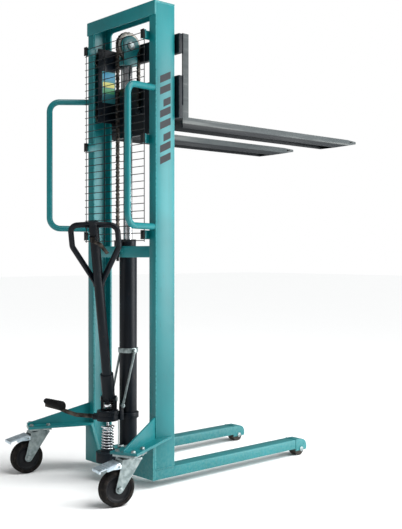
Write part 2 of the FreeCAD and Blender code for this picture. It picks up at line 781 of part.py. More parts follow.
def tiller_pin():
    y = lug_y + lug_thick
    z = tiller_pin_z
    pin = rod((tiller_pin_x, -y - 3, z), (tiller_pin_x, y + 3, z), tiller_pin_radius)
    for side in (-y - 4, y):
        pin = pin.fuse(rod((tiller_pin_x, side, z), (tiller_pin_x, side + 4, z), tiller_pin_radius + 4))
    return tiller_side(pin.removeSplitter())


def tiller_tube():
    """Socket with its hinge eye and push roller, and the tube up to the handle."""
    w = lug_y - run_gap
    eye = rod((0, -w, 0), (0, w, 0), 15)
    socket = rod((0, 0, 10), (0, 0, tiller_socket_length), tiller_socket_radius)
    socket = socket.cut(box(-60, 60, w, 60, -20, 40)).cut(box(-60, 60, -60, -w, -20, 40))
    tube = rod((0, 0, tiller_socket_length), (0, 0, tiller_length - loop_tube_radius), tiller_tube_radius)
    ears = [box(lever_x - 7, 0, y, y + 3, lever_z - 7, lever_z + 7) for y in (-13, 10)]
    ears.append(rod((lever_x, -14, lever_z), (lever_x, 14, lever_z), lever_pin_radius))
    body = eye.fuse([socket, tube] + ears)
    body.rotate(Vector(0, 0, 0), Vector(0, 1, 0), -tiller_lean)
    finger = plate([(-30, -8, -18), (-38, -8, -10), (-30, -8, 2), (4, -8, 12), (4, -8, -12)], (0, 16, 0))
    push = rod((-30, -8, -10), (-30, 8, -10), 8)
    body = body.fuse([finger, push])
    body = body.cut(rod((0, -60, 0), (0, 60, 0), tiller_pin_radius + fit_gap))
    body.translate(Vector(tiller_pin_x, 0, tiller_pin_z))
    return tiller_side(body.removeSplitter())


def handle_loop():
    """Closed shield-shaped loop around the top of the tiller tube."""
    top = tiller_length - loop_tube_radius
    low = tiller_length - loop_height
    w = loop_half_width
    points = [(0, 0, top), (0, -w, top - 6), (0, -w, top - 95), (0, -12, low), (0, 12, low)]
    points += [(0, w, top - 95), (0, w, top - 6), (0, 0, top)]
    loop = bent_bar(points[:4] + [(0, -12, low - 14)], 30.0, loop_tube_radius)
    other = bent_bar([points[-1], points[-2], points[-3], points[-4], (0, 12, low - 14)], 30.0, loop_tube_radius)
    body = loop.fuse(other)
    body = body.cut(rod((0, 0, 0), (0, 0, tiller_length), tiller_tube_radius))
    body = body.fuse(rod((0, 0, tiller_length - loop_tube_radius), (0, 0, tiller_length), tiller_tube_radius))
    return along_tiller(body.removeSplitter())


def release_lever():
    """Finger lever on two ears at the upper end of the tube."""
    hub = rod((lever_x, -9, lever_z), (lever_x, 9, lever_z), 5)
    outline = [(8, lever_z - 2), (8, lever_z - 18), (-20, lever_z - 28), (-50, lever_z - 68)]
    outline += [(-62, lever_z - 62), (-34, lever_z - 20), (-9, lever_z - 9), (-9, lever_z - 2)]
    blade = plate([(lever_x - 5, y, z) for y, z in outline], (4, 0, 0))
    body = hub.fuse(blade)
    body = body.cut(rod((lever_x, -14, lever_z), (lever_x, 14, lever_z), lever_pin_radius + fit_gap))
    return along_tiller(body.removeSplitter())


def pedal_arm_straight():
    x, y = pedal_hub
    z = pedal_pin_z
    hub = rod((x - 6.5, y, z), (x + 6.5, y, z), 2 * pedal_pin_radius)
    points = [(x, y, z)] + list(pedal_points)
    start = Vector(*points[0])
    along = (Vector(*points[1]) - start).normalize()
    side = along.cross(Vector(0, 0, 1)).normalize()
    up = side.cross(along)
    corners = [start + side * (5.7 * a) + up * (4.0 * b) for a, b in ((-1, -1), (1, -1), (1, 1), (-1, 1))]
    section = Part.makePolygon(corners + corners[:1])
    bar = path(points, 40.0).makePipeShell([section], True, False)
    return hub.fuse(bar).cut(rod((x - 20, y, z), (x + 20, y, z), pedal_pin_radius + fit_gap))


def pedal_pad():
    """Rubber sleeve with a flat underside, pushed over the end of the arm."""
    tip = Vector(*pedal_points[2])
    along = (tip - Vector(*pedal_points[1])).normalize()
    start = tip - along * (pedal_pad_length - 6)
    body = Part.makeCylinder(pedal_pad_radius, pedal_pad_length, start, along)
    body = body.makeFillet(6.0, [e for e in body.Edges if e.Curve.TypeId == "Part::GeomCircle"])
    body = body.cut(box(-40, 40, 0, 400, tip.z - 60, tip.z - 12))
    return pedal_side(body.cut(pedal_arm_straight()))


def build():
    both_sides("upright", upright())
    parts["top_beam"] = top_beam()
    parts["mid_crossmember"] = mid_crossmember()
    parts["base_crossplate"] = base_crossplate()
    both_sides("leg", leg())
    both_sides("leg_roller", leg_roller())
    parts["leg_roller_axles"] = Part.makeCompound([leg_axle(), flip(leg_axle())])
    both_sides("castor_wing", wing())
    parts["castor_plates"] = Part.makeCompound([castor_plate(1), castor_plate(-1)])
    parts["castor_bolts"] = castor_bolts()
    for name, make in (("castor_fork", castor_fork), ("castor_axle", castor_axle), ("castor_tyre", castor_tyre),
                       ("castor_hub", castor_hub), ("brake_pedal", brake_pedal)):
        parts[name + "_left"] = castor_local(make(), 1)
        parts[name + "_right"] = castor_local(make(), -1)
    both_sides("handrail", handrail())
    parts["guard_mesh"] = guard_mesh()
    parts["guard_tabs"] = guard_tabs()
    parts["guard_clips"] = guard_clips()
    parts["lift_cylinder"] = lift_cylinder()
    parts["cylinder_gland"] = cylinder_gland()
    parts["pump_body"] = pump_body()
    parts["release_valve"] = release_valve()
    parts["pump_bracket"] = pump_bracket()
    parts["stay_rods"] = stay_rods()
    parts["plunger"] = plunger()
    parts["pump_spring"] = ring(pump_x, 0, spring_z0, spring_z1, spring_radius, spring_radius - spring_wire)
    parts["piston_rod"] = piston_rod()
    parts["crosshead_yoke"] = crosshead_yoke()
    parts["sheave_axle"] = sheave_axle()
    parts["chain_sheave"] = sheave()
    parts["chain_rear"] = chain_strand(chain_rear_x, chain_anchor_top, sheave_z)
    parts["chain_wrap"] = chain_wrap()
    parts["chain_front"] = chain_strand(chain_front_x, chain_lug_z, sheave_z)
    parts["chain_anchor"] = chain_anchor()
    both_sides("carriage_side", carriage_side())
    parts["guide_rollers_lower"] = guide_rollers(guide_roller_z[0])
    parts["guide_rollers_upper"] = guide_rollers(guide_roller_z[1])
    parts["carriage_upper_bar"] = carriage_upper_bar()
    parts["carriage_lower_plate"] = carriage_lower_plate()
    both_sides("fork", fork())
    parts["tiller_head"] = tiller_head()
    parts["tiller_pin"] = tiller_pin()
    parts["tiller_tube"] = tiller_tube()
    parts["handle_loop"] = handle_loop()
    parts["release_lever"] = release_lever()
    parts["pedal_arm"] = pedal_side(pedal_arm_straight().removeSplitter())
    parts["pedal_pad"] = pedal_pad()


def export():
    os.makedirs("parts", exist_ok=True)
    for name, shape in parts.items():
        shape = shape.copy()
        shape.translate(Vector(frame_shift, 0, 0))
        shape.exportStep(os.path.join("parts", name + ".step"))


build()
export()
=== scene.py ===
import json
import math

import bmesh
import bpy
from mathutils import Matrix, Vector

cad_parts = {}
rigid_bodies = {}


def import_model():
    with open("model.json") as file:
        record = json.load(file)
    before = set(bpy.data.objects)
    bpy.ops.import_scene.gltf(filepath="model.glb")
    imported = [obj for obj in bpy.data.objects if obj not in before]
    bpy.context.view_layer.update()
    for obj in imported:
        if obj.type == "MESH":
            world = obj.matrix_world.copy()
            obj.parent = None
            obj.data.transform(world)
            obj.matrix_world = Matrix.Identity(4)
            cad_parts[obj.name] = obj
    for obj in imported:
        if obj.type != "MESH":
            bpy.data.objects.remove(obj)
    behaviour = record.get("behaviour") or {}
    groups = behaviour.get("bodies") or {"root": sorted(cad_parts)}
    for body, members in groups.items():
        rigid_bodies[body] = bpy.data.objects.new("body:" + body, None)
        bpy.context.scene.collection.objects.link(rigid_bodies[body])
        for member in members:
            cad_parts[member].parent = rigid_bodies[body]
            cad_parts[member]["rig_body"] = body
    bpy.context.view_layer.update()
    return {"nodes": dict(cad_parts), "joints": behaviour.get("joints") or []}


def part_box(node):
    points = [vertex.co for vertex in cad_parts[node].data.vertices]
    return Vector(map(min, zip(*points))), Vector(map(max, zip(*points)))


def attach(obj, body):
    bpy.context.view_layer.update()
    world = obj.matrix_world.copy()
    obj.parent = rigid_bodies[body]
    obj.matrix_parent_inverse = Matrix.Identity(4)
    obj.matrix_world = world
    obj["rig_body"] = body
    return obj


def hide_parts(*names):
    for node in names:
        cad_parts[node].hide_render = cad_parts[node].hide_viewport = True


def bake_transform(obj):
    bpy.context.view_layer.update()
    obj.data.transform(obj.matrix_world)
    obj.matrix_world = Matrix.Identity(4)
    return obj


# Hand stacker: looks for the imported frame. Metres, +X to the fork tips, +Z up.
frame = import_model()
nodes = frame["nodes"]
joints = {j["name"]: j for j in frame["joints"]}
mm = 0.001


def hexColour(text, alpha=1.0):
    # hex to linear
    parts = [int(text[i:i + 2], 16) / 255 for i in (1, 3, 5)]
    linear = [c / 12.92 if c < 0.04045 else ((c + 0.055) / 1.055) ** 2.4 for c in parts]
    return (*linear, alpha)


class Value:
    # a shader socket that can be used in a Python expression
    def __init__(self, finish, socket):
        self.finish = finish
        self.socket = socket

    def join(self, operation, a, b):
        return self.finish.value("ShaderNodeMath", {"operation": operation}, {0: a, 1: b})

    def __add__(self, other):
        return self.join("ADD", self, other)

    def __radd__(self, other):
        return self.join("ADD", other, self)

    def __sub__(self, other):
        return self.join("SUBTRACT", self, other)

    def __rsub__(self, other):
        return self.join("SUBTRACT", other, self)

    def __mul__(self, other):
        return self.join("MULTIPLY", self, other)


class Finish:
    # one material, with its nodes made by add()
    def __init__(self, name, **constants):
        self.material = bpy.data.materials.new(name)
        self.material.use_nodes = True
        self.tree = self.material.node_tree
        self.tree.nodes.clear()
        self.shader = self.add("ShaderNodeBsdfPrincipled", {}, constants)
        output = self.add("ShaderNodeOutputMaterial")
        self.tree.links.new(self.shader.outputs["BSDF"], output.inputs["Surface"])
        self.place = self.add("ShaderNodeTexCoord").outputs["Object"]

    def add(self, kind, settings=None, inputs=None):
        node = self.tree.nodes.new(kind)
        for key, value in (settings or {}).items():
            setattr(node, key, value)
        for key, value in (inputs or {}).items():
            self.feed(node.inputs[key], value)
        return node

    def feed(self, socket, value):
        if isinstance(value, Value):
            value = value.socket
        if isinstance(value, bpy.types.NodeSocket):
            self.tree.links.new(value, socket)
        else:
            socket.default_value = value

    def value(self, kind, settings=None, inputs=None, output=0):
        return Value(self, self.add(kind, settings, inputs).outputs[output])

    def noise(self, scale, detail=3.0, stretch=(1, 1, 1), distortion=0.0):
        place = self.add("ShaderNodeMapping", {}, {"Vector": self.place, "Scale": stretch}).outputs[0]
        sizes = {"Vector": place, "Scale": scale, "Detail": detail, "Distortion": distortion}
        return self.value("ShaderNodeTexNoise", {}, sizes)

    def between(self, value, low, high):
        # 0 below low, 1 above high
        return self.value("ShaderNodeMapRange", {"clamp": True},
                          {"Value": value, "From Min": low, "From Max": high})

    def height(self):
        return self.value("ShaderNodeSeparateXYZ", {}, {0: self.place}, 2)

    def facing(self, axis):
        # how far the surface faces along one axis
        normal = self.add("ShaderNodeNewGeometry").outputs["Normal"]
        return self.value("ShaderNodeSeparateXYZ", {}, {0: normal}, axis)

    def stored(self, name):
        # a number stored on the piece: edge wear and painted edge highlight on rounded edges, painted shade
        # inside the fork channels
        return self.value("ShaderNodeAttribute", {"attribute_name": name}, {}, "Fac")

    def edge(self):
        return self.stored("edgeWearAndHighlight")

    def mix(self, factor, a, b):
        settings = {"data_type": "RGBA", "blend_type": "MIX"}
        return self.value("ShaderNodeMix", settings, {0: factor, 6: a, 7: b}, 2)

    def surface(self, colour, roughness, height=None, strength=0.2, distance=0.001, metallic=None):
        self.feed(self.shader.inputs["Base Color"], colour)
        self.feed(self.shader.inputs["Roughness"], roughness)
        if metallic is not None:
            self.feed(self.shader.inputs["Metallic"], metallic)
        if height is not None:
            sizes = {"Strength": strength, "Distance": distance, "Height": height}
            self.feed(self.shader.inputs["Normal"], self.add("ShaderNodeBump", {}, sizes).outputs[0])
        return self.material


# Paint. Tone drifts slowly, the bottom gathers dust, scratches show what is under it, and rounded edges get a
# paler teal that is partly wear and partly a painted highlight.
tealPaint = {"deep": "#006166", "pale": "#01757A", "edge": "#5FB9BA", "dust": "#5F8784",
             "scratch": "#03494D", "dustTop": 0.24, "roughness": 0.36}


def makeTealPaint(spec):
    paint = Finish("tealPaint", **{"Coat Weight": 0.4, "Coat Roughness": 0.35, "Specular IOR Level": 0.2})
    cloud = paint.noise(1.6, 4, distortion=0.6)
    grain = paint.noise(85, 4)
    run = paint.noise(26, 5, stretch=(1, 1, 0.06))
    nick = paint.between(paint.noise(70, 6, stretch=(1, 1, 0.2)), 0.68, 0.74)
    low = paint.between(paint.height(), spec["dustTop"], 0.0) * paint.between(grain, 0.35, 0.65)
    tone = paint.mix(paint.between(cloud, 0.35, 0.65), hexColour(spec["deep"]), hexColour(spec["pale"]))
    tone = paint.mix(paint.between(run, 0.55, 0.8) * 0.25, tone, hexColour(spec["scratch"]))
    tone = paint.mix(nick * 0.45, tone, hexColour(spec["scratch"]))
    # painted highlight: rounded edges turn a paler teal, broken up by grain like wear
    tone = paint.mix(paint.edge() * paint.between(grain, 0.3, 0.6) * 0.6, tone, hexColour(spec["edge"]))
    tone = paint.mix(low * 0.4, tone, hexColour(spec["dust"]))
    rough = spec["roughness"] + grain * 0.14 + low * 0.25
    peel = paint.noise(420, 2) + grain * 0.5
    return paint.surface(tone, rough, peel, 0.12, 0.0006)


darkPaint = {"base": "#020810", "pale": "#0A161F", "edge": "#4C565C", "rust": "#2E241F", "roughness": 0.36}


def makeDarkPaint(spec):
    paint = Finish("darkPaint", **{"Specular IOR Level": 0.2})
    cloud = paint.noise(5, 4)
    grain = paint.noise(110, 4)
    chip = paint.between(paint.noise(45, 7), 0.66, 0.7)
    tone = paint.mix(paint.between(cloud, 0.4, 0.75), hexColour(spec["base"]), hexColour(spec["pale"]))
    tone = paint.mix(chip * 0.5, tone, hexColour(spec["rust"]))
    tone = paint.mix(paint.edge() * paint.between(grain, 0.35, 0.6) * 0.7, tone, hexColour(spec["edge"]))
    rough = spec["roughness"] + grain * 0.16
    return paint.surface(tone, rough, paint.noise(380, 2) + chip * -0.6, 0.14, 0.0006)


# The near-black tone and the band height are for painted shade on the fork: inside the open channel, on the
# faces towards -X and along a band at the bottom.
forkPaint = {"base": "#343A3C", "pale": "#4B5051", "bare": "#838583", "dark": "#22282B", "paintedShade": "#0B1015",
             "lowBandShade": 19 * mm, "ragged": 4 * mm, "roughness": 0.46}


def makeForkPaint(spec):
    paint = Finish("forkPaint", **{"Specular IOR Level": 0.2})
    drag = paint.noise(38, 6, stretch=(0.05, 1, 1))  # pallets rub along the blade
    cloud = paint.noise(4, 4)
    grain = paint.noise(120, 4)
    rub = paint.between(drag, 0.54, 0.72)
    tone = paint.mix(cloud, hexColour(spec["base"]), hexColour(spec["pale"]))
    tone = paint.mix(rub * 0.55, tone, hexColour(spec["bare"]))
    tone = paint.mix(paint.between(drag, 0.42, 0.3) * 0.4, tone, hexColour(spec["dark"]))
    # painted shade inside the open fork channel, on the marked faces
    paintedShade = paint.stored("channelShade")
    # painted shade on the faces that look towards -X
    rearFaceShade = paint.between(paint.facing(0), -0.6, -0.8)
    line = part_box("fork_left")[0].z + spec["lowBandShade"]  # below it the paint is whole, with no rubbed bare metal, and is painted near-black as shade
    ragged = spec["ragged"]
    # painted shade over a ragged band along the bottom of the fork
    lowBandShade = paint.between(paint.height() + grain * ragged, line + ragged, line) * (1 - paintedShade)
    tone = paint.mix(paint.edge() * 0.5, tone, hexColour(spec["bare"]))
    tone = paint.mix(lowBandShade * 0.92, tone, hexColour(spec["paintedShade"]))
    tone = paint.mix(paintedShade * 0.95 + rearFaceShade * (1 - paintedShade) * 0.85, tone, hexColour(spec["paintedShade"]))
    rough = spec["roughness"] + grain * 0.2 - rub * 0.08
    return paint.surface(tone, rough, drag + grain * 0.3, 0.16, 0.0008, rub * (1 - lowBandShade) * 0.25)


def makeMetal(name, dark, pale, roughness, grainScale=160, blotch=30, bump=0.12, stretch=(1, 1, 1)):
    metal = Finish(name, **{"Metallic": 1.0})
    cloud = metal.noise(blotch, 5)
    grain = metal.noise(grainScale, 4, stretch=stretch)
    tone = metal.mix(metal.between(cloud, 0.35, 0.68), hexColour(dark), hexColour(pale))
    tone = metal.mix(metal.edge() * 0.4, tone, hexColour("#E4E6E6"))
    return metal.surface(tone, roughness + grain * 0.18, grain, bump, 0.0005)


def makeRubber(name, base, worn, dustScale=60, roughness=0.62):
    rubber = Finish(name, **{"Specular IOR Level": 0.15})
    scuff = rubber.noise(dustScale, 6)
    grain = rubber.noise(600, 3)
    tone = rubber.mix(rubber.between(scuff, 0.48, 0.72), hexColour(base), hexColour(worn))
    return rubber.surface(tone, roughness + scuff * 0.2, grain + scuff * 0.6, 0.3, 0.0006)


def makePlain(name, colour, second, roughness=0.45):
    # plastics, ink and film: two close tones and a fine grain
    coat = Finish(name, **{"Specular IOR Level": 0.2})
    cloud = coat.noise(25, 4)
    grain = coat.noise(300, 3)
    tone = coat.mix(cloud, hexColour(colour), hexColour(second))
    return coat.surface(tone, roughness + grain * 0.12, grain, 0.1, 0.0004)


finishes = {
    "teal": makeTealPaint(tealPaint),
    "dark": makeDarkPaint(darkPaint),
    "fork": makeForkPaint(forkPaint),
    "chain": makeMetal("oiledChain", "#1B1A19", "#4A4641", 0.3, 240, 70),
    "steel": makeMetal("machinedSteel", "#6E6B66", "#A5A29B", 0.26, 200, 40, 0.1, (1, 1, 0.1)),
    "zinc": makeMetal("zincPlate", "#778384", "#9FAAAA", 0.36, 130, 55),
    "brake": makeMetal("blueZinc", "#AEBFC9", "#DCE9F0", 0.42, 130, 55),
    "chrome": makeMetal("hardChrome", "#B9BDC2", "#EEF0F2", 0.06, 90, 12, 0.03),
    "brown": makeMetal("wornSteel", "#1E1C1B", "#55504A", 0.4, 150, 45),
    "tyre": makeRubber("tyreRubber", "#0B0908", "#2B2623"),
    "pad": makeRubber("padRubber", "#070708", "#1A1A1D", 40, 0.5),
    "hub": makePlain("hubPlastic", "#08090C", "#14161A", 0.4),
    "wire": makePlain("dippedWire", "#070A0C", "#14181B", 0.32),
    "nylon": makePlain("rollerNylon", "#2A2724", "#46413B", 0.42),
    "ink": makePlain("markInk", "#101419", "#1C2228", 0.4),
    "filmBlue": makePlain("filmBlue", "#1F6C8C", "#2C7F9C", 0.3),
    "filmGreen": makePlain("filmGreen", "#3C9160", "#53A672", 0.3),
    "filmYellow": makePlain("filmYellow", "#B4B45A", "#C7C571", 0.3),
    "filmGround": makePlain("filmGround", "#2A6C74", "#387E84", 0.3),
}
print("finishes", len(finishes))


def makePiece(name, mesh, finish=None):
    piece = bpy.data.objects.new(name, mesh)
    bpy.context.scene.collection.objects.link(piece)
    if finish:
        mesh.materials.clear()
        mesh.materials.append(finishes[finish])
    return piece


def smooth(mesh, degrees=32):
    mesh.shade_smooth()
    mesh.set_sharp_from_angle(angle=math.radians(degrees))


def keepMesh(name, mesh):
    data = bpy.data.meshes.new(name)
    mesh.to_mesh(data)
    mesh.free()
    return data


def settle(piece, node, stands=True):
    # the piece moves with the node's body and takes its slot
    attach(piece, nodes[node]["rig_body"])
    if stands:
        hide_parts(node)
    return piece


def centre(node):
    low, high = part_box(node)
    return (low + high) / 2


def mergedMesh(node):
    mesh = bmesh.new()
    mesh.from_mesh(nodes[node].data)
    bmesh.ops.remove_doubles(mesh, verts=mesh.verts, dist=1e-6)
    bmesh.ops.dissolve_limit(mesh, angle_limit=math.radians(0.6), verts=mesh.verts, edges=mesh.edges)
    return mesh


def islands(node):
    # centre of each separate solid in a node
    mesh = bmesh.new()
    mesh.from_mesh(nodes[node].data)
    bmesh.ops.remove_doubles(mesh, verts=mesh.verts, dist=1e-6)
    left = set(mesh.verts)
    found = []
    while left:
        group = [left.pop()]
        for vert in group:
            near = [e.other_vert(vert) for e in vert.link_edges]
            fresh = [v for v in near if v in left]
            left.difference_update(fresh)
            group.extend(fresh)
        low = Vector(min(v.co[i] for v in group) for i in range(3))
        high = Vector(max(v.co[i] for v in group) for i in range(3))
        found.append((low + high) / 2)
    mesh.free()
    return found


def markChannelShade(mesh, node):
    # the open underside of a fork, marked for painted shade: faces between its side plates and below its top
    low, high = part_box(node)
    margin, tip = 2 * mm, 100 * mm
    blade = max(v.co.z for v in mesh.verts if v.co.x > high.x - tip / 2)
    channelShade = mesh.loops.layers.float.new("channelShade")
    for face in mesh.faces:
        middle = face.calc_center_median()
        inside = low.y + margin < middle.y < high.y - margin and middle.z < blade - margin
        inside = inside and middle.x < high.x - tip
        for loop in face.loops:
            loop[channelShade] = 1.0 if inside else 0.0


def roundEdges(mesh, width, sharpest=28):
    # rounds the sharp edges and marks the rounds for edge wear and, on teal paint, a painted edge highlight
    sharp = [e for e in mesh.edges
             if len(e.link_faces) == 2 and e.calc_face_angle(0) > math.radians(sharpest)]
    made = bmesh.ops.bevel(mesh, geom=sharp, offset=width, segments=2, profile=0.5,
                           affect="EDGES", clamp_overlap=True)
    wearAndHighlight = mesh.loops.layers.float.new("edgeWearAndHighlight")
    for face in made["faces"]:
        for loop in face.loops:
            loop[wearAndHighlight] = 1.0


def softEdges(node, finish, width):
    # a copy of a CAD piece with its sharp edges rounded
    mesh = mergedMesh(node)
    if width:
        roundEdges(mesh, width)
    if finish == "fork":
        markChannelShade(mesh, node)
    data = keepMesh(node + "Soft", mesh)
    smooth(data)
    return settle(makePiece(node + "Soft", data, finish), node)


# Which finish each carried piece has, and how round its edges are (mm).
softened = {
    "teal": {"upright_left": 2.2, "upright_right": 2.2, "top_beam": 1.2, "mid_crossmember": 1.2,
             "base_crossplate": 1.6, "leg_left": 1.0, "leg_right": 1.0, "castor_wing_left": 1.4,
             "castor_wing_right": 1.4, "handrail_left": 0, "handrail_right": 0, "guard_tabs": 0.5,
             "crosshead_yoke": 1.2},
    "dark": {"lift_cylinder": 1.2, "cylinder_gland": 1.2, "pump_body": 1.6, "pump_bracket": 1.0,
             "tiller_head": 1.2, "tiller_tube": 1.2, "handle_loop": 0, "carriage_side_left": 1.0,
             "carriage_side_right": 1.0, "carriage_upper_bar": 1.4, "carriage_lower_plate": 1.2,
             "chain_anchor": 0.6},
    "fork": {"fork_left": 1.0, "fork_right": 1.0},
    "steel": {"guide_rollers_lower": 0.8, "guide_rollers_upper": 0.8, "chain_sheave": 0.5},
    "zinc": {"castor_plates": 0.8, "castor_fork_left": 0.8, "castor_fork_right": 0.8,
             "castor_axle_left": 0.5, "castor_axle_right": 0.5, "leg_roller_axles": 0.5,
             "sheave_axle": 0.8, "tiller_pin": 0.5, "stay_rods": 0.6, "release_valve": 0.5},
    "chrome": {"piston_rod": 0.8, "plunger": 0.6},
    "brown": {"release_lever": 0.6},
    "wire": {"guard_clips": 0.6},
}
for finish, group in softened.items():
    for node, width in group.items():
        softEdges(node, finish, width * mm)
print("softened", sum(len(g) for g in softened.values()))


class Tree:
    # one geometry tree, with its sizes as named inputs
    def __init__(self, name, sizes):
        self.group = bpy.data.node_groups.new(name, "GeometryNodeTree")
        kinds = {float: "NodeSocketFloat", int: "NodeSocketInt", tuple: "NodeSocketVector"}
        face = self.group.interface
        face.new_socket("Geometry", in_out="OUTPUT", socket_type="NodeSocketGeometry")
        face.new_socket("Geometry", in_out="INPUT", socket_type="NodeSocketGeometry")
        for label, value in sizes.items():
            face.new_socket(label, in_out="INPUT", socket_type=kinds[type(value)])
        face.new_socket("Finish", in_out="INPUT", socket_type="NodeSocketMaterial")
        self.entry = self.group.nodes.new("NodeGroupInput")

    def size(self, label):
        return self.entry.outputs[label]

    def add(self, kind, settings=None, inputs=None, output=0):
        node = self.group.nodes.new(kind)
        for key, value in (settings or {}).items():
            setattr(node, key, value)
        for key, value in (inputs or {}).items():
            if isinstance(value, bpy.types.NodeSocket):
                self.group.links.new(value, node.inputs[key])
            else:
                node.inputs[key].default_value = value
        return node.outputs[output]

    def join(self, *shapes):
        node = self.group.nodes.new("GeometryNodeJoinGeometry")
        for shape in shapes:
            self.group.links.new(shape, node.inputs[0])
        return node.outputs[0]

    def math(self, operation, a, b=0.0):
        return self.add("ShaderNodeMath", {"operation": operation}, {0: a, 1: b})

    def vector(self, x=0.0, y=0.0, z=0.0):
        return self.add("ShaderNodeCombineXYZ", {}, {0: x, 1: y, 2: z})

    def tube(self, curve, radius, sides=8, caps=True):
        ring = self.add("GeometryNodeCurvePrimitiveCircle", {}, {"Resolution": sides, "Radius": radius})
        return self.add("GeometryNodeCurveToMesh", {},
                        {"Curve": curve, "Profile Curve": ring, "Fill Caps": caps})

    def close(self, shape):
        real = self.add("GeometryNodeRealizeInstances", {}, {"Geometry": shape})
        painted = self.add("GeometryNodeSetMaterial", {}, {"Geometry": real, "Material": self.size("Finish")})
        output = self.group.nodes.new("NodeGroupOutput")
        self.group.links.new(painted, output.inputs["Geometry"])
        return self

    def grow(self, name, sizes, finish, carrier=None, degrees=40):
        # runs the tree on a carrier and keeps the result as a plain mesh
        data = carrier or bpy.data.meshes.new(name + "Carrier")
        holder = bpy.data.objects.new(name + "Holder", data)
        bpy.context.scene.collection.objects.link(holder)
        modifier = holder.modifiers.new("tree", "NODES")
        modifier.node_group = self.group
        for item in self.group.interface.items_tree:
            if item.in_out == "INPUT" and item.name in sizes:
                modifier[item.identifier] = sizes[item.name]
            if item.in_out == "INPUT" and item.name == "Finish":
                modifier[item.identifier] = finishes[finish]
        view = bpy.context.evaluated_depsgraph_get()
        mesh = bpy.data.meshes.new_from_object(holder.evaluated_get(view))
        holder.modifiers.clear()
        bpy.data.objects.remove(holder)
        if not mesh.materials:
            mesh.materials.append(finishes[finish])
        smooth(mesh, degrees)
        return makePiece(name, mesh)


def linePath(name, runs, closed=False):
    curve = bpy.data.curves.new(name, "CURVE")
    curve.dimensions = "3D"
    for points in runs:
        spline = curve.splines.new("POLY")
        spline.points.add(len(points) - 1)
        for target, point in zip(spline.points, points):
            target.co = (*point, 1)
        spline.use_cyclic_u = closed
    return curve


def pointMesh(name, points):
    mesh = bpy.data.meshes.new(name)
    mesh.from_pydata([tuple(p) for p in points], [], [])
    return mesh


# Guard: welded wires, level ones behind the upright ones.
guardMesh = {"Rows": 29, "Columns": 4, "Overhang": 5 * mm, "Side Overhang": 4 * mm, "Nugget": 1.35}


def buildGuard(spec):
    low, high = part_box("guard_mesh")
    wire = (high.x - low.x) / 4
    sizes = {"Rows": spec["Rows"], "Columns": spec["Columns"], "Wire": wire, "Nugget": spec["Nugget"] * wire,
             "Low": (low.x, low.y, low.z), "Span": tuple(high - low),
             "Overhang": spec["Overhang"], "Side Overhang": spec["Side Overhang"]}
    tree = Tree("weldedGuard", sizes)
    corner = tree.add("ShaderNodeSeparateXYZ", {}, {0: tree.size("Low")}).node.outputs
    span = tree.add("ShaderNodeSeparateXYZ", {}, {0: tree.size("Span")}).node.outputs
    levelX = tree.math("ADD", corner[0], tree.size("Wire"))
    uprightX = tree.math("ADD", levelX, tree.math("MULTIPLY", tree.size("Wire"), 2.0))
    rowGap = tree.math("SUBTRACT", span[2], tree.math("MULTIPLY", tree.size("Overhang"), 2.0))
    rowGap = tree.math("DIVIDE", rowGap, tree.math("SUBTRACT", tree.size("Rows"), 1.0))
    columnGap = tree.math("SUBTRACT", span[1], tree.math("MULTIPLY", tree.size("Side Overhang"), 2.0))
    columnGap = tree.math("DIVIDE", columnGap, tree.math("SUBTRACT", tree.size("Columns"), 1.0))
    firstZ = tree.math("ADD", corner[2], tree.size("Overhang"))
    firstY = tree.math("ADD", corner[1], tree.size("Side Overhang"))
    level = tree.add("GeometryNodeCurvePrimitiveLine", {}, {"End": tree.vector(0.0, span[1], 0.0)})
    upright = tree.add("GeometryNodeCurvePrimitiveLine", {}, {"End": tree.vector(0.0, 0.0, span[2])})
    rows = tree.add("GeometryNodeMeshLine", {}, {"Count": tree.size("Rows"),
                    "Start Location": tree.vector(levelX, corner[1], firstZ),
                    "Offset": tree.vector(0.0, 0.0, rowGap)})
    columns = tree.add("GeometryNodeMeshLine", {}, {"Count": tree.size("Columns"),
                       "Start Location": tree.vector(uprightX, firstY, corner[2]),
                       "Offset": tree.vector(0.0, columnGap, 0.0)})
    crossings = tree.add("GeometryNodeMeshLine", {}, {"Count": tree.size("Columns"),
                         "Start Location": tree.vector(tree.size("Wire"), tree.size("Side Overhang"), 0.0),
                         "Offset": tree.vector(0.0, columnGap, 0.0)})
    nugget = tree.add("GeometryNodeMeshIcoSphere", {}, {"Radius": tree.size("Nugget"), "Subdivisions": 2})
    row = tree.join(tree.tube(level, tree.size("Wire")),
                    tree.add("GeometryNodeInstanceOnPoints", {}, {"Points": crossings, "Instance": nugget}))
    column = tree.tube(upright, tree.size("Wire"))
    grid = tree.join(tree.add("GeometryNodeInstanceOnPoints", {}, {"Points": rows, "Instance": row}),
                     tree.add("GeometryNodeInstanceOnPoints", {}, {"Points": columns, "Instance": column}))
    piece = tree.close(grid).grow("guardWires", sizes, "wire")
    settle(piece, "guard_mesh")


buildGuard(guardMesh)


# Leaf chain: link plates in turn, and a pin at each joint.
leafChain = {"Pitch": 15.875 * mm, "Plate": 1.9 * mm, "Waist": 0.72, "Pin": 2.4 * mm}


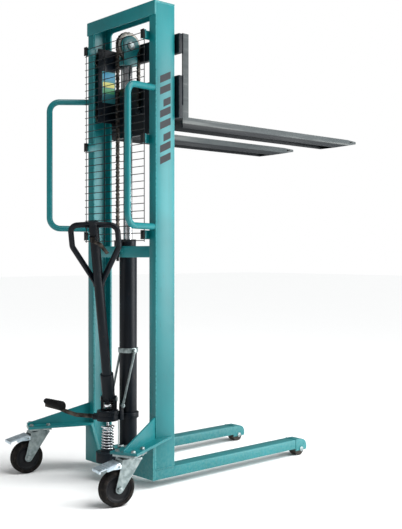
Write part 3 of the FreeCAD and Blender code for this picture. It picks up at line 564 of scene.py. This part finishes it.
def chainTree(spec, height, width):
    sizes = {**spec, "Height": height, "Width": width}
    tree = Tree("leafChain", sizes)
    long = tree.size("Pitch")
    points = tree.add("GeometryNodeCurveToPoints", {"mode": "LENGTH"},
                      {"Curve": tree.size("Geometry"), "Length": long}).node
    turn = tree.add("FunctionNodeAlignRotationToVector", {"axis": "Z", "pivot_axis": "Y"},
                    {"Vector": points.outputs["Tangent"]})
    lie = (math.pi / 2, 0, 0)  # discs stand across the chain
    half = tree.math("MULTIPLY", long, 0.5)
    disc = tree.add("GeometryNodeMeshCylinder", {}, {"Vertices": 14, "Depth": tree.size("Plate"),
                    "Radius": tree.math("MULTIPLY", tree.size("Height"), 0.5)})
    up = tree.add("GeometryNodeTransform", {}, {"Geometry": disc, "Rotation": lie,
                  "Translation": tree.vector(0.0, 0.0, half)})
    down = tree.add("GeometryNodeTransform", {}, {"Geometry": disc, "Rotation": lie,
                    "Translation": tree.vector(0.0, 0.0, tree.math("MULTIPLY", half, -1.0))})
    waist = tree.add("GeometryNodeMeshCube", {}, {"Size": tree.vector(
        tree.math("MULTIPLY", tree.size("Height"), tree.size("Waist")), tree.size("Plate"), long)})
    plate = tree.join(up, down, waist)

    def row(steps):
        shapes = []
        for step in steps:
            y = tree.math("MULTIPLY", tree.size("Width"), step)
            shapes.append(tree.add("GeometryNodeTransform", {},
                                   {"Geometry": plate, "Translation": tree.vector(0.0, y, 0.0)}))
        return tree.join(*shapes)

    pin = tree.add("GeometryNodeMeshCylinder", {}, {"Vertices": 10, "Radius": tree.size("Pin"),
                   "Depth": tree.size("Width")})
    pin = tree.add("GeometryNodeTransform", {}, {"Geometry": pin, "Rotation": lie,
                   "Translation": tree.vector(0.0, 0.0, half)})
    outer = tree.join(row((-0.42, -0.14, 0.14, 0.42)), pin)
    inner = tree.join(row((-0.28, 0.0, 0.28)), pin)
    odd = tree.math("MODULO", tree.add("GeometryNodeInputIndex"), 2.0)
    chosen = {"Points": points.outputs["Points"], "Rotation": turn}
    first = tree.add("GeometryNodeInstanceOnPoints", {}, {**chosen, "Selection": odd, "Instance": outer})
    second = tree.add("GeometryNodeInstanceOnPoints", {}, {
        **chosen, "Selection": tree.math("SUBTRACT", 1.0, odd), "Instance": inner})
    return tree.close(tree.join(first, second)), sizes


def buildChains(spec):
    low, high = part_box("chain_rear")
    tree, sizes = chainTree(spec, high.x - low.x, high.y - low.y)
    inset = spec["Pitch"] / 2 + sizes["Height"] / 2
    strands = {"rearChain": ("chain_rear", "chassis", "crosshead"),
               "frontChain": ("chain_front", "carriage", "crosshead")}
    for name, (node, lowBody, highBody) in strands.items():
        low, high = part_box(node)
        middle = (low + high) / 2
        run = [(middle.x, middle.y, low.z + inset), (middle.x, middle.y, high.z - inset)]
        piece = tree.grow(name, sizes, "chain", linePath(name + "Path", [run]))
        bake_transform(piece)
        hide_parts(node)
    low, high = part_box("chain_wrap")
    hub = Vector(joints["sheave_spin"]["pos_m"])
    radius = (high.x - low.x) / 2 - sizes["Height"] / 2
    arc = []
    for step in range(41):
        a = math.pi * step / 40
        arc.append((hub.x - radius * math.cos(a), hub.y, hub.z + radius * math.sin(a)))
    piece = tree.grow("wrapChain", sizes, "chain", linePath("wrapPath", [arc]))
    settle(piece, "chain_wrap")


buildChains(leafChain)
print("guard and chains")


# Pump spring: a tapered coil with closed ends.
pumpSpring = {"Turns": 7.5, "Wire": 3.1 * mm, "Top Share": 0.86}


def buildSpring(spec):
    low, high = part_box("pump_spring")
    middle = (low + high) / 2
    sizes = {**spec, "Radius": (high.x - low.x) / 2 - spec["Wire"], "Rise": high.z - low.z - 2 * spec["Wire"],
             "Foot": (middle.x, middle.y, low.z + spec["Wire"])}
    tree = Tree("coilSpring", sizes)
    coil = tree.add("GeometryNodeCurveSpiral", {}, {
        "Resolution": 28, "Rotations": tree.size("Turns"), "Start Radius": tree.size("Radius"),
        "End Radius": tree.math("MULTIPLY", tree.size("Radius"), tree.size("Top Share")),
        "Height": tree.size("Rise")})
    wire = tree.tube(coil, tree.size("Wire"), 12)
    placed = tree.add("GeometryNodeTransform", {}, {"Geometry": wire, "Translation": tree.size("Foot")})
    piece = tree.close(placed).grow("springCoil", sizes, "chrome")
    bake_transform(piece)
    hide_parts("pump_spring")


buildSpring(pumpSpring)


# Hex bolts through the castor plates: chamfered head, washer and shank.
plateBolt = {"Head": 9.2 * mm, "Head Height": 6.5 * mm, "Washer": 10.5 * mm, "Washer Height": 1.6 * mm}


def boltTree(sizes):
    tree = Tree("hexBolt", sizes)
    head = tree.add("GeometryNodeMeshCone", {}, {"Vertices": 6, "Radius Bottom": tree.size("Head"),
                    "Radius Top": tree.math("MULTIPLY", tree.size("Head"), 0.9),
                    "Depth": tree.size("Head Height")})
    washer = tree.add("GeometryNodeMeshCylinder", {}, {"Vertices": 24, "Radius": tree.size("Washer"),
                      "Depth": tree.size("Washer Height")})
    shank = tree.add("GeometryNodeMeshCylinder", {}, {"Vertices": 16, "Radius": tree.size("Shank"),
                     "Depth": tree.size("Length")})
    middle = tree.vector(0.0, 0.0, tree.math("MULTIPLY", tree.size("Length"), -0.5))
    shank = tree.add("GeometryNodeTransform", {}, {"Geometry": shank, "Translation": middle})
    head = tree.add("GeometryNodeTransform", {}, {"Geometry": head, "Translation": tree.vector(
        0.0, 0.0, tree.size("Washer Height"))})
    washer = tree.add("GeometryNodeTransform", {}, {"Geometry": washer, "Translation": tree.vector(
        0.0, 0.0, tree.math("MULTIPLY", tree.size("Washer Height"), 0.5))})
    bolt = tree.join(head, washer, shank)
    return tree.close(tree.add("GeometryNodeInstanceOnPoints", {}, {"Points": tree.size("Geometry"),
                                                                    "Instance": bolt}))


def buildBolts(spec):
    found = islands("castor_bolts")
    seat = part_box("castor_plates")[1].z + 10 * mm  # top of the bracket plate
    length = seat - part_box("castor_bolts")[0].z
    sizes = {**spec, "Shank": 5 * mm, "Length": length}
    heads = pointMesh("boltPoints", [(c.x, c.y, seat) for c in found])
    settle(boltTree(sizes).grow("plateBolts", sizes, "zinc", heads), "castor_bolts")


buildBolts(plateBolt)


# Weld beads: small overlapping drops along a seam.
weldBead = {"Drop": 3.0 * mm, "Step": 2.6 * mm}
seams = {"railRoot": 232 * mm, "railRadius": 13 * mm, "railLow": 12 * mm, "cross": 12 * mm,
         "legPlate": 75 * mm, "legLift": 8 * mm, "shankRun": 300 * mm}


def weldTree(sizes):
    tree = Tree("weldBead", sizes)
    points = tree.add("GeometryNodeCurveToPoints", {"mode": "LENGTH"},
                      {"Curve": tree.size("Geometry"), "Length": tree.size("Step")}).node
    drop = tree.add("GeometryNodeMeshIcoSphere", {}, {"Radius": tree.size("Drop"), "Subdivisions": 2})
    vary = tree.add("FunctionNodeRandomValue", {"data_type": "FLOAT"}, {2: 0.82, 3: 1.08, "Seed": 7}, 1)
    return tree.close(tree.add("GeometryNodeInstanceOnPoints", {}, {
        "Points": points.outputs["Points"], "Instance": drop, "Scale": vary}))


def ringAround(x, y, z, radius, steps=36):
    angles = [2 * math.pi * i / steps for i in range(steps + 1)]
    return [(x, y + radius * math.cos(a), z + radius * math.sin(a)) for a in angles]


def buildWelds(spec, places):
    tree = weldTree(spec)
    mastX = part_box("upright_left")[0].x
    frameRuns = []
    for side, name in ((1, "left"), (-1, "right")):
        low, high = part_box("handrail_" + name)
        rootY = side * places["railRoot"]
        radius = places["railRadius"]
        frameRuns.append(ringAround(mastX, rootY, low.z + places["railLow"], radius))
        frameRuns.append(ringAround(mastX, rootY, high.z - radius, radius))
        low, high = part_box("mid_crossmember")
        edge = side * high.y
        crossX = mastX + places["cross"]
        frameRuns.append([(crossX, edge, low.z), (crossX, edge, high.z)])
        low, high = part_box("leg_" + name)
        seam = high.x - places["legPlate"]
        outer = high.y if side > 0 else low.y
        inner = low.y if side > 0 else high.y
        foot = low.z + places["legLift"]
        frameRuns.append([(seam, inner, high.z), (seam, outer, high.z), (seam, outer, foot)])
        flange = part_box("upright_" + name)
        edgeY = flange[1].y if side > 0 else flange[0].y
        frameRuns.append([(mastX, edgeY, high.z), (flange[1].x, edgeY, high.z)])
    piece = tree.grow("frameWelds", spec, "teal", linePath("frameSeams", frameRuns))
    settle(piece, "upright_left", stands=False)
    liftRuns = []
    barLow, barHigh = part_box("carriage_upper_bar")
    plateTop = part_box("carriage_lower_plate")[1].z
    for name in ("left", "right"):
        low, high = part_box("fork_" + name)
        for y in (low.y, high.y):
            liftRuns.append([(low.x, y, barLow.z), (low.x, y, barHigh.z)])
            liftRuns.append([(low.x, y, high.z - places["shankRun"]), (low.x, y, plateTop)])
    piece = tree.grow("carriageWelds", spec, "dark", linePath("carriageSeams", liftRuns))
    settle(piece, "carriage_upper_bar", stands=False)


buildWelds(weldBead, seams)
print("spring, bolts, welds")


def skin(name, rings, degrees, closed=False):
    # a mesh through rings of points; an open row of rings is capped at both ends
    mesh = bmesh.new()
    rows = [[mesh.verts.new(point) for point in ring] for ring in rings]
    pairs = list(zip(rows, rows[1:]))
    if closed:
        pairs.append((rows[-1], rows[0]))
    for first, second in pairs:
        for i in range(len(first)):
            j = (i + 1) % len(first)
            mesh.faces.new((first[i], first[j], second[j], second[i]))
    if not closed:
        mesh.faces.new(rows[0])
        mesh.faces.new(rows[-1])
    bmesh.ops.recalc_face_normals(mesh, faces=mesh.faces)
    data = keepMesh(name, mesh)
    smooth(data, degrees)
    return data


def lathe(name, profile, place, axis, finish, sides=64, node=None):
    # a closed outline (radius, along) turned about an axis through place
    turn = Vector((0, 0, 1)).rotation_difference(Vector(axis)).to_matrix()
    rings = []
    for radius, along in profile:
        ring = []
        for i in range(sides):
            a = 2 * math.pi * i / sides
            point = turn @ Vector((radius * math.cos(a), radius * math.sin(a), along))
            ring.append(point + Vector(place))
        rings.append(ring)
    piece = makePiece(name, skin(name, rings, 38, closed=True), finish)
    return settle(piece, node) if node else piece


def mirrored(half):
    # both sides of an outline given for one side, from bore to bore
    return half + [(r, -a) for r, a in reversed(half)]


# Castor wheels: radii and half widths in mm.
castorWheel = {"radius": 70, "rim": 52, "half": 22.5, "bore": 6.1, "boss": 26, "groove": 1.4}


def buildWheels(spec):
    radius, rim, half = spec["radius"], spec["rim"], spec["half"]
    tread = [(rim, half - 2.5), (rim + 1.5, half - 0.4), (rim + 6, half), (radius - 8, half - 0.6),
             (radius - 3, half - 3), (radius - 0.8, half - 6.5), (radius, half - 10.5)]
    for line in (8.0, 0.9):
        tread += [(radius, line + 1.2), (radius - spec["groove"], line + 0.7),
                  (radius - spec["groove"], line - 0.4), (radius, line - 0.7)]
    hub = [(spec["bore"], spec["boss"]), (15, spec["boss"]), (17.5, spec["boss"] - 1.5), (18, 19),
           (20.5, 14.5), (24, 13), (39, 13), (44, 14.5), (47, 18.5), (rim - 0.3, 19.5)]
    for name in ("left", "right"):
        joint = joints["castor_wheel_" + name]
        scaled = [(r * mm, a * mm) for r, a in mirrored(tread)]
        lathe("tyre_" + name, scaled, joint["pos_m"], joint["axis"], "tyre", 96, "castor_tyre_" + name)
        scaled = [(r * mm, a * mm) for r, a in mirrored(hub)]
        lathe("wheelHub_" + name, scaled, joint["pos_m"], joint["axis"], "hub", 72, "castor_hub_" + name)


buildWheels(castorWheel)


# Load rollers in the leg noses.
legRoller = {"bore": 8.1, "shield": 14.0}


def buildRollers(spec):
    for name in ("left", "right"):
        joint = joints["leg_roller_spin_" + name]
        low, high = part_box("leg_roller_" + name)
        radius = (high.z - low.z) / 2 / mm
        half = (high.y - low.y) / 2 / mm
        outline = [(spec["bore"], half), (spec["shield"], half), (spec["shield"] + 1, half - 2),
                   (radius - 8, half - 2), (radius - 7, half), (radius - 3, half), (radius - 1, half - 1),
                   (radius, half - 3.5)]
        scaled = [(r * mm, a * mm) for r, a in mirrored(outline)]
        lathe("roller_" + name, scaled, joint["pos_m"], joint["axis"], "nylon", 64, "leg_roller_" + name)


buildRollers(legRoller)
print("wheels")


def mainAxis(node):
    # the long axis of a slender level piece: unit direction, lowest and highest step along it
    points = [v.co for v in nodes[node].data.vertices]
    middle = centre(node)
    best = (0, None)
    for step in range(180):
        a = math.radians(step)
        direction = Vector((math.cos(a), math.sin(a), 0))
        steps = [(p - middle).dot(direction) for p in points]
        spread = max(steps) - min(steps)
        if spread > best[0]:
            best = (spread, direction, min(steps), max(steps))
    return best[1:], middle


# Foot pedal rubber: a soft oval sleeve with grip ribs across its top.
pedalPad = {"ribs": 9, "ribDepth": 1.5 * mm, "sides": 40, "steps": 110, "flat": 0.85, "nose": 0.16,
            "radius": 18.6 * mm, "outerEnd": 0.72, "innerEnd": 1.22, "sag": 19 * mm, "inset": 9 * mm,
            "tip": 0.04, "clear": 0.3 * mm}


def buildPad(spec):
    (direction, start, end), middle = mainAxis("pedal_pad")
    across = direction.cross(Vector((0, 0, 1)))
    radius = spec["radius"]
    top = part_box("pedal_pad")[1].z - radius * spec["outerEnd"] - spec["clear"]
    outward = (middle + direction).length > (middle - direction).length
    first, last = ("innerEnd", "outerEnd") if outward else ("outerEnd", "innerEnd")
    rings = []
    for i in range(spec["steps"] + 1):
        t = i / spec["steps"]
        inward = 1 - t if outward else t
        place = start + (end - start) * t + (-spec["inset"] if outward else spec["inset"]) * inward
        ends = min(t, 1 - t) / spec["nose"]
        shape = math.sqrt(max(0.0, 1 - (1 - min(1.0, ends)) ** 2)) * (1 - spec["tip"]) + spec["tip"]
        wave = 0.5 - 0.5 * math.cos(2 * math.pi * spec["ribs"] * t)
        ring = []
        for k in range(spec["sides"]):
            a = 2 * math.pi * k / spec["sides"]
            grip = spec["ribDepth"] * wave * max(0.0, math.sin(a)) * min(1.0, ends)
            r = (radius * (spec[first] + (spec[last] - spec[first]) * t) - grip) * shape
            drop = spec["flat"] if math.sin(a) < 0 else 1.0
            point = middle + direction * place + across * (r * math.cos(a))
            up = top - spec["sag"] * inward + r * math.sin(a) * drop
            ring.append((point.x, point.y, up))
        rings.append(ring)
    settle(makePiece("pedalRubber", skin("pedalRubber", rings, 50), "pad"), "pedal_pad")


buildPad(pedalPad)


def thinPlates(name, outlines, thickness, finish, node):
    # flat outlines, each a list of points, given a thickness along their normal
    mesh = bmesh.new()
    for outline, push in outlines:
        base = [mesh.verts.new(p) for p in outline]
        topping = [mesh.verts.new(Vector(p) + Vector(push) * thickness) for p in outline]
        mesh.faces.new(base)
        mesh.faces.new(topping)
        for i in range(len(base)):
            j = (i + 1) % len(base)
            mesh.faces.new((base[i], base[j], topping[j], topping[i]))
    bmesh.ops.recalc_face_normals(mesh, faces=mesh.faces)
    return settle(makePiece(name, keepMesh(name, mesh), finish), node, stands=False)


def roundedBox(x0, x1, z0, z1, radius, y):
    corners = ((x1 - radius, z1 - radius, 0), (x0 + radius, z1 - radius, 90),
               (x0 + radius, z0 + radius, 180), (x1 - radius, z0 + radius, 270))
    points = []
    for cx, cz, start in corners:
        for step in range(7):
            a = math.radians(start + 15 * step)
            points.append((cx + radius * math.cos(a), y, cz + radius * math.sin(a)))
    return points


def sideProfile(name, pieces, place, axis, finish, node, width=0.5 * mm):
    # flat outlines (ahead, up), each pushed across between two steps along a level axis
    across = Vector(axis).normalized()
    ahead = across.cross(Vector((0, 0, 1)))
    mesh = bmesh.new()
    for outline, start, end in pieces:
        sides = []
        for step in (start, end):
            row = [Vector(place) + ahead * x + across * step + Vector((0, 0, z)) for x, z in outline]
            sides.append([mesh.verts.new(p) for p in row])
        mesh.faces.new(sides[0])
        mesh.faces.new(sides[1])
        for i in range(len(outline)):
            j = (i + 1) % len(outline)
            mesh.faces.new((sides[0][i], sides[0][j], sides[1][j], sides[1][i]))
    bmesh.ops.recalc_face_normals(mesh, faces=mesh.faces)
    roundEdges(mesh, width)
    data = keepMesh(name, mesh)
    smooth(data)
    return settle(makePiece(name, data, finish), node)


# Castor brake pedals: a ribbed plate that slopes away from the pin, on two cheeks.
brakePedal = {"reach": 80 * mm, "slope": 14, "top": 13 * mm, "thick": 4 * mm, "cheek": 3 * mm,
              "half": 34 * mm, "inner": 30.9 * mm, "ribs": 5, "ribPitch": 11 * mm, "ribWide": 4 * mm,
              "ribRise": 1.6 * mm, "ribSink": 2 * mm, "ribInset": 6 * mm, "lip": 11 * mm}


def buildBrakes(spec):
    fall = math.tan(math.radians(spec["slope"]))
    thick, top, reach, half = spec["thick"], spec["top"], spec["reach"], spec["half"]
    rib = half - spec["ribInset"]
    back = 52 * mm  # where a cheek meets the plate

    def slab(x0, x1, lift, depth):
        return [(x0, top + lift + x0 * fall), (x1, top + lift + x1 * fall),
                (x1, top + lift - depth + x1 * fall), (x0, top + lift - depth + x0 * fall)]

    for name in ("left", "right"):
        joint = joints["brake_pedal_" + name]
        inner = spec["inner"]
        pieces = [(slab(-reach, 5 * mm, 0, thick), -half, half)]
        pieces.append((slab(-reach - 1 * mm, -reach + 3 * mm, 0, spec["lip"]), -half, half))
        for i in range(spec["ribs"]):
            x = -reach + (i + 1.2) * spec["ribPitch"]
            pieces.append((slab(x, x + spec["ribWide"], spec["ribRise"], spec["ribSink"]), -rib, rib))
        cheek = [(10 * mm, -8 * mm), (10 * mm, 7 * mm), (4 * mm, top - thick),
                 (-back, top - thick - back * fall), (-48 * mm, -14 * mm), (-24 * mm, -9 * mm),
                 (-8 * mm, -10 * mm)]
        pieces.append((cheek, inner, inner + spec["cheek"]))
        pieces.append((cheek, -inner - spec["cheek"], -inner))
        sideProfile("brakePlate_" + name, pieces, joint["pos_m"], joint["axis"], "brake",
                    "brake_pedal_" + name)


buildBrakes(brakePedal)


# Foot pedal arm: a bar that climbs from its hub to the rubber. Bends are (ahead, up) in mm.
pedalArm = {"half": 5.6 * mm, "rise": 9.0 * mm, "hub": 8 * mm, "hubHalf": 6.3 * mm, "lean": 6 * mm,
            "sides": 16, "squareness": 0.7, "steps": 6,
            "bends": ((12, 1), (80, 5), (125, 19), (155, 31), (219, 46))}


def buildPedalArm(spec):
    joint = joints["foot_pedal_swing"]
    place, pin = Vector(joint["pos_m"]), Vector(joint["axis"]).normalized()
    ahead = Vector((0, 0, 1)).cross(pin)
    path = []
    bends = [(x * mm, z * mm) for x, z in spec["bends"]]
    for (x0, z0), (x1, z1) in zip(bends, bends[1:]):
        for step in range(spec["steps"]):
            t = step / spec["steps"]
            path.append((x0 + (x1 - x0) * t, z0 + (z1 - z0) * t))
    path.append(bends[-1])
    rings = []
    for i, (x, z) in enumerate(path):
        ring = []
        lean = -spec["lean"] * min(1.0, i / 8)
        for k in range(spec["sides"]):
            a = 2 * math.pi * k / spec["sides"]
            side, up = math.cos(a), math.sin(a)
            bulge = max(abs(side), abs(up)) ** spec["squareness"]
            offset = pin * (lean + side / bulge * spec["half"])
            ring.append(place + ahead * x + offset + Vector((0, 0, z + up / bulge * spec["rise"])))
        rings.append(ring)
    settle(makePiece("pedalBar", skin("pedalBar", rings, 45), "brown"), "pedal_arm")
    half, hub = spec["hubHalf"] / mm, spec["hub"] / mm
    outline = [(4.1, half), (hub - 1, half), (hub, half - 1), (hub, half - 3), (hub - 0.8, half - 4)]
    lathe("pedalHub", [(r * mm, a * mm) for r, a in mirrored(outline)], place, pin, "brown", 40)
    settle(bpy.data.objects["pedalHub"], "pedal_arm", stands=False)


buildPedalArm(pedalArm)


# Plain dark stripes down the outer side of the right-hand upright.
sideMark = {"bars": 8, "bottom": 1.335, "rise": 0.048, "bar": 0.030, "slant": 0.026, "margin": 0.022,
            "cut": 0.32, "film": 0.25 * mm}


def buildSideMark(spec):
    low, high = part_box("upright_right")
    right = high.x - spec["margin"]
    bars = []
    for i in range(spec["bars"]):
        z = spec["bottom"] + i * spec["rise"]
        left = low.x + spec["margin"]
        climb = spec["slant"]
        if i % 3 == 2:  # every third bar is shorter
            left += (right - left) * spec["cut"]
            climb *= 1 - spec["cut"]
        outline = [(left, low.y, z), (right, low.y, z + climb),
                   (right, low.y, z + climb + spec["bar"]), (left, low.y, z + spec["bar"])]
        bars.append((outline, (0, -1, 0)))
    thinPlates("sideStripes", bars, spec["film"], "ink", "upright_right")


buildSideMark(sideMark)


# Film label on the inner face of the left side plate: plain bands of colour.
plateLabel = {"x0": 18 * mm, "x1": 90 * mm, "z0": 1.650, "z1": 1.792, "film": 0.3 * mm, "boss": 7 * mm,
              "ink": 0.15 * mm, "margin": 4 * mm, "corner": 5 * mm, "bandCorner": 3 * mm,
              "bands": (("filmBlue", 0.72, 0.97), ("filmYellow", 0.50, 0.66), ("filmGreen", 0.30, 0.47))}


def buildLabel(spec):
    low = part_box("carriage_side_left")[0]
    face = low.y + spec["boss"]
    x0, x1 = low.x + spec["x0"], low.x + spec["x1"]
    ground = roundedBox(x0, x1, spec["z0"], spec["z1"], spec["corner"], face)
    thinPlates("labelFilm", [(ground, (0, -1, 0))], spec["film"], "filmGround", "carriage_side_left")
    rise = spec["z1"] - spec["z0"]
    top = face - spec["film"]
    for i, (finish, start, end) in enumerate(spec["bands"]):
        band = roundedBox(x0 + spec["margin"], x1 - spec["margin"], spec["z0"] + rise * start,
                          spec["z0"] + rise * end, spec["bandCorner"], top)
        thinPlates(f"labelBand{i}", [(band, (0, -1, 0))], spec["ink"], finish, "carriage_side_left")


buildLabel(plateLabel)
print("pad and marks")


# Floor, lights and camera.
stage = {"floor": "#FAFBFB", "floorPale": "#FBFCFC", "sky": "#FFFFFF", "skyStrength": 1.0,
         "dim": 0.24, "size": 60.0}
lamps = {
    "rightSoftbox": {"at": (1.75, -2.75, 1.65), "to": (-0.4, -0.25, 1.1), "size": 2.0, "tall": 3.3,
                     "power": 175},
    "leftFill": {"at": (-5.5, 1.0, 3.0), "to": (0.0, 0.0, 1.0), "size": 2.5, "tall": 2.5, "power": 40},
}
sun = {"turn": (28, 12, 0), "strength": 2.95, "angle": 45}
viewer = {"at": (-2.6549, -2.9898, 0.9644), "turn": -41.95, "lens": 57.9, "shift": (-0.0154, -0.0189)}


def buildStage():
    mesh = bpy.data.meshes.new("floor")
    half = stage["size"] / 2
    corners = [(-half, -half, 0), (half, -half, 0), (half, half, 0), (-half, half, 0)]
    mesh.from_pydata(corners, [], [(0, 1, 2, 3)])
    floor = bpy.data.objects.new("floor", mesh)
    bpy.context.scene.collection.objects.link(floor)
    ground = Finish("paleFloor")
    tone = ground.mix(ground.noise(0.8, 3), hexColour(stage["floor"]), hexColour(stage["floorPale"]))
    ground.surface(tone, ground.noise(3, 3) * 0.1 + 0.75)
    mesh.materials.append(ground.material)
    world = bpy.data.worlds.new("studio")
    world.use_nodes = True
    tree = world.node_tree
    background = tree.nodes["Background"]
    background.inputs["Color"].default_value = hexColour(stage["sky"])
    dim = tree.nodes.new("ShaderNodeMapRange")  # white backdrop, dimmer light from it
    dim.inputs["To Min"].default_value = stage["dim"]
    dim.inputs["To Max"].default_value = stage["skyStrength"]
    rays = tree.nodes.new("ShaderNodeLightPath")
    tree.links.new(rays.outputs["Is Camera Ray"], dim.inputs["Value"])
    tree.links.new(dim.outputs["Result"], background.inputs["Strength"])
    bpy.context.scene.world = world
    light = bpy.data.lights.new("overhead", "SUN")
    light.energy = sun["strength"]
    light.angle = math.radians(sun["angle"])
    holder = bpy.data.objects.new("overhead", light)
    bpy.context.scene.collection.objects.link(holder)
    holder.rotation_euler = [math.radians(a) for a in sun["turn"]]
    for name, lamp in lamps.items():
        light = bpy.data.lights.new(name, "AREA")
        light.shape = "RECTANGLE"
        light.size = lamp["size"]
        light.size_y = lamp["tall"]
        light.energy = lamp["power"]
        holder = bpy.data.objects.new(name, light)
        bpy.context.scene.collection.objects.link(holder)
        holder.location = lamp["at"]
        holder.visible_camera = False
        aim = Vector(lamp["to"]) - Vector(lamp["at"])
        holder.rotation_euler = aim.to_track_quat("-Z", "Y").to_euler()
    camera = bpy.data.cameras.new("viewer")
    camera.lens = viewer["lens"]
    camera.shift_x, camera.shift_y = viewer["shift"]
    holder = bpy.data.objects.new("viewer", camera)
    bpy.context.scene.collection.objects.link(holder)
    holder.location = viewer["at"]
    holder.rotation_euler = (math.radians(90), 0, math.radians(viewer["turn"]))
    bpy.context.scene.camera = holder
    bpy.context.scene.view_settings.view_transform = "Standard"


buildStage()
print("stage")
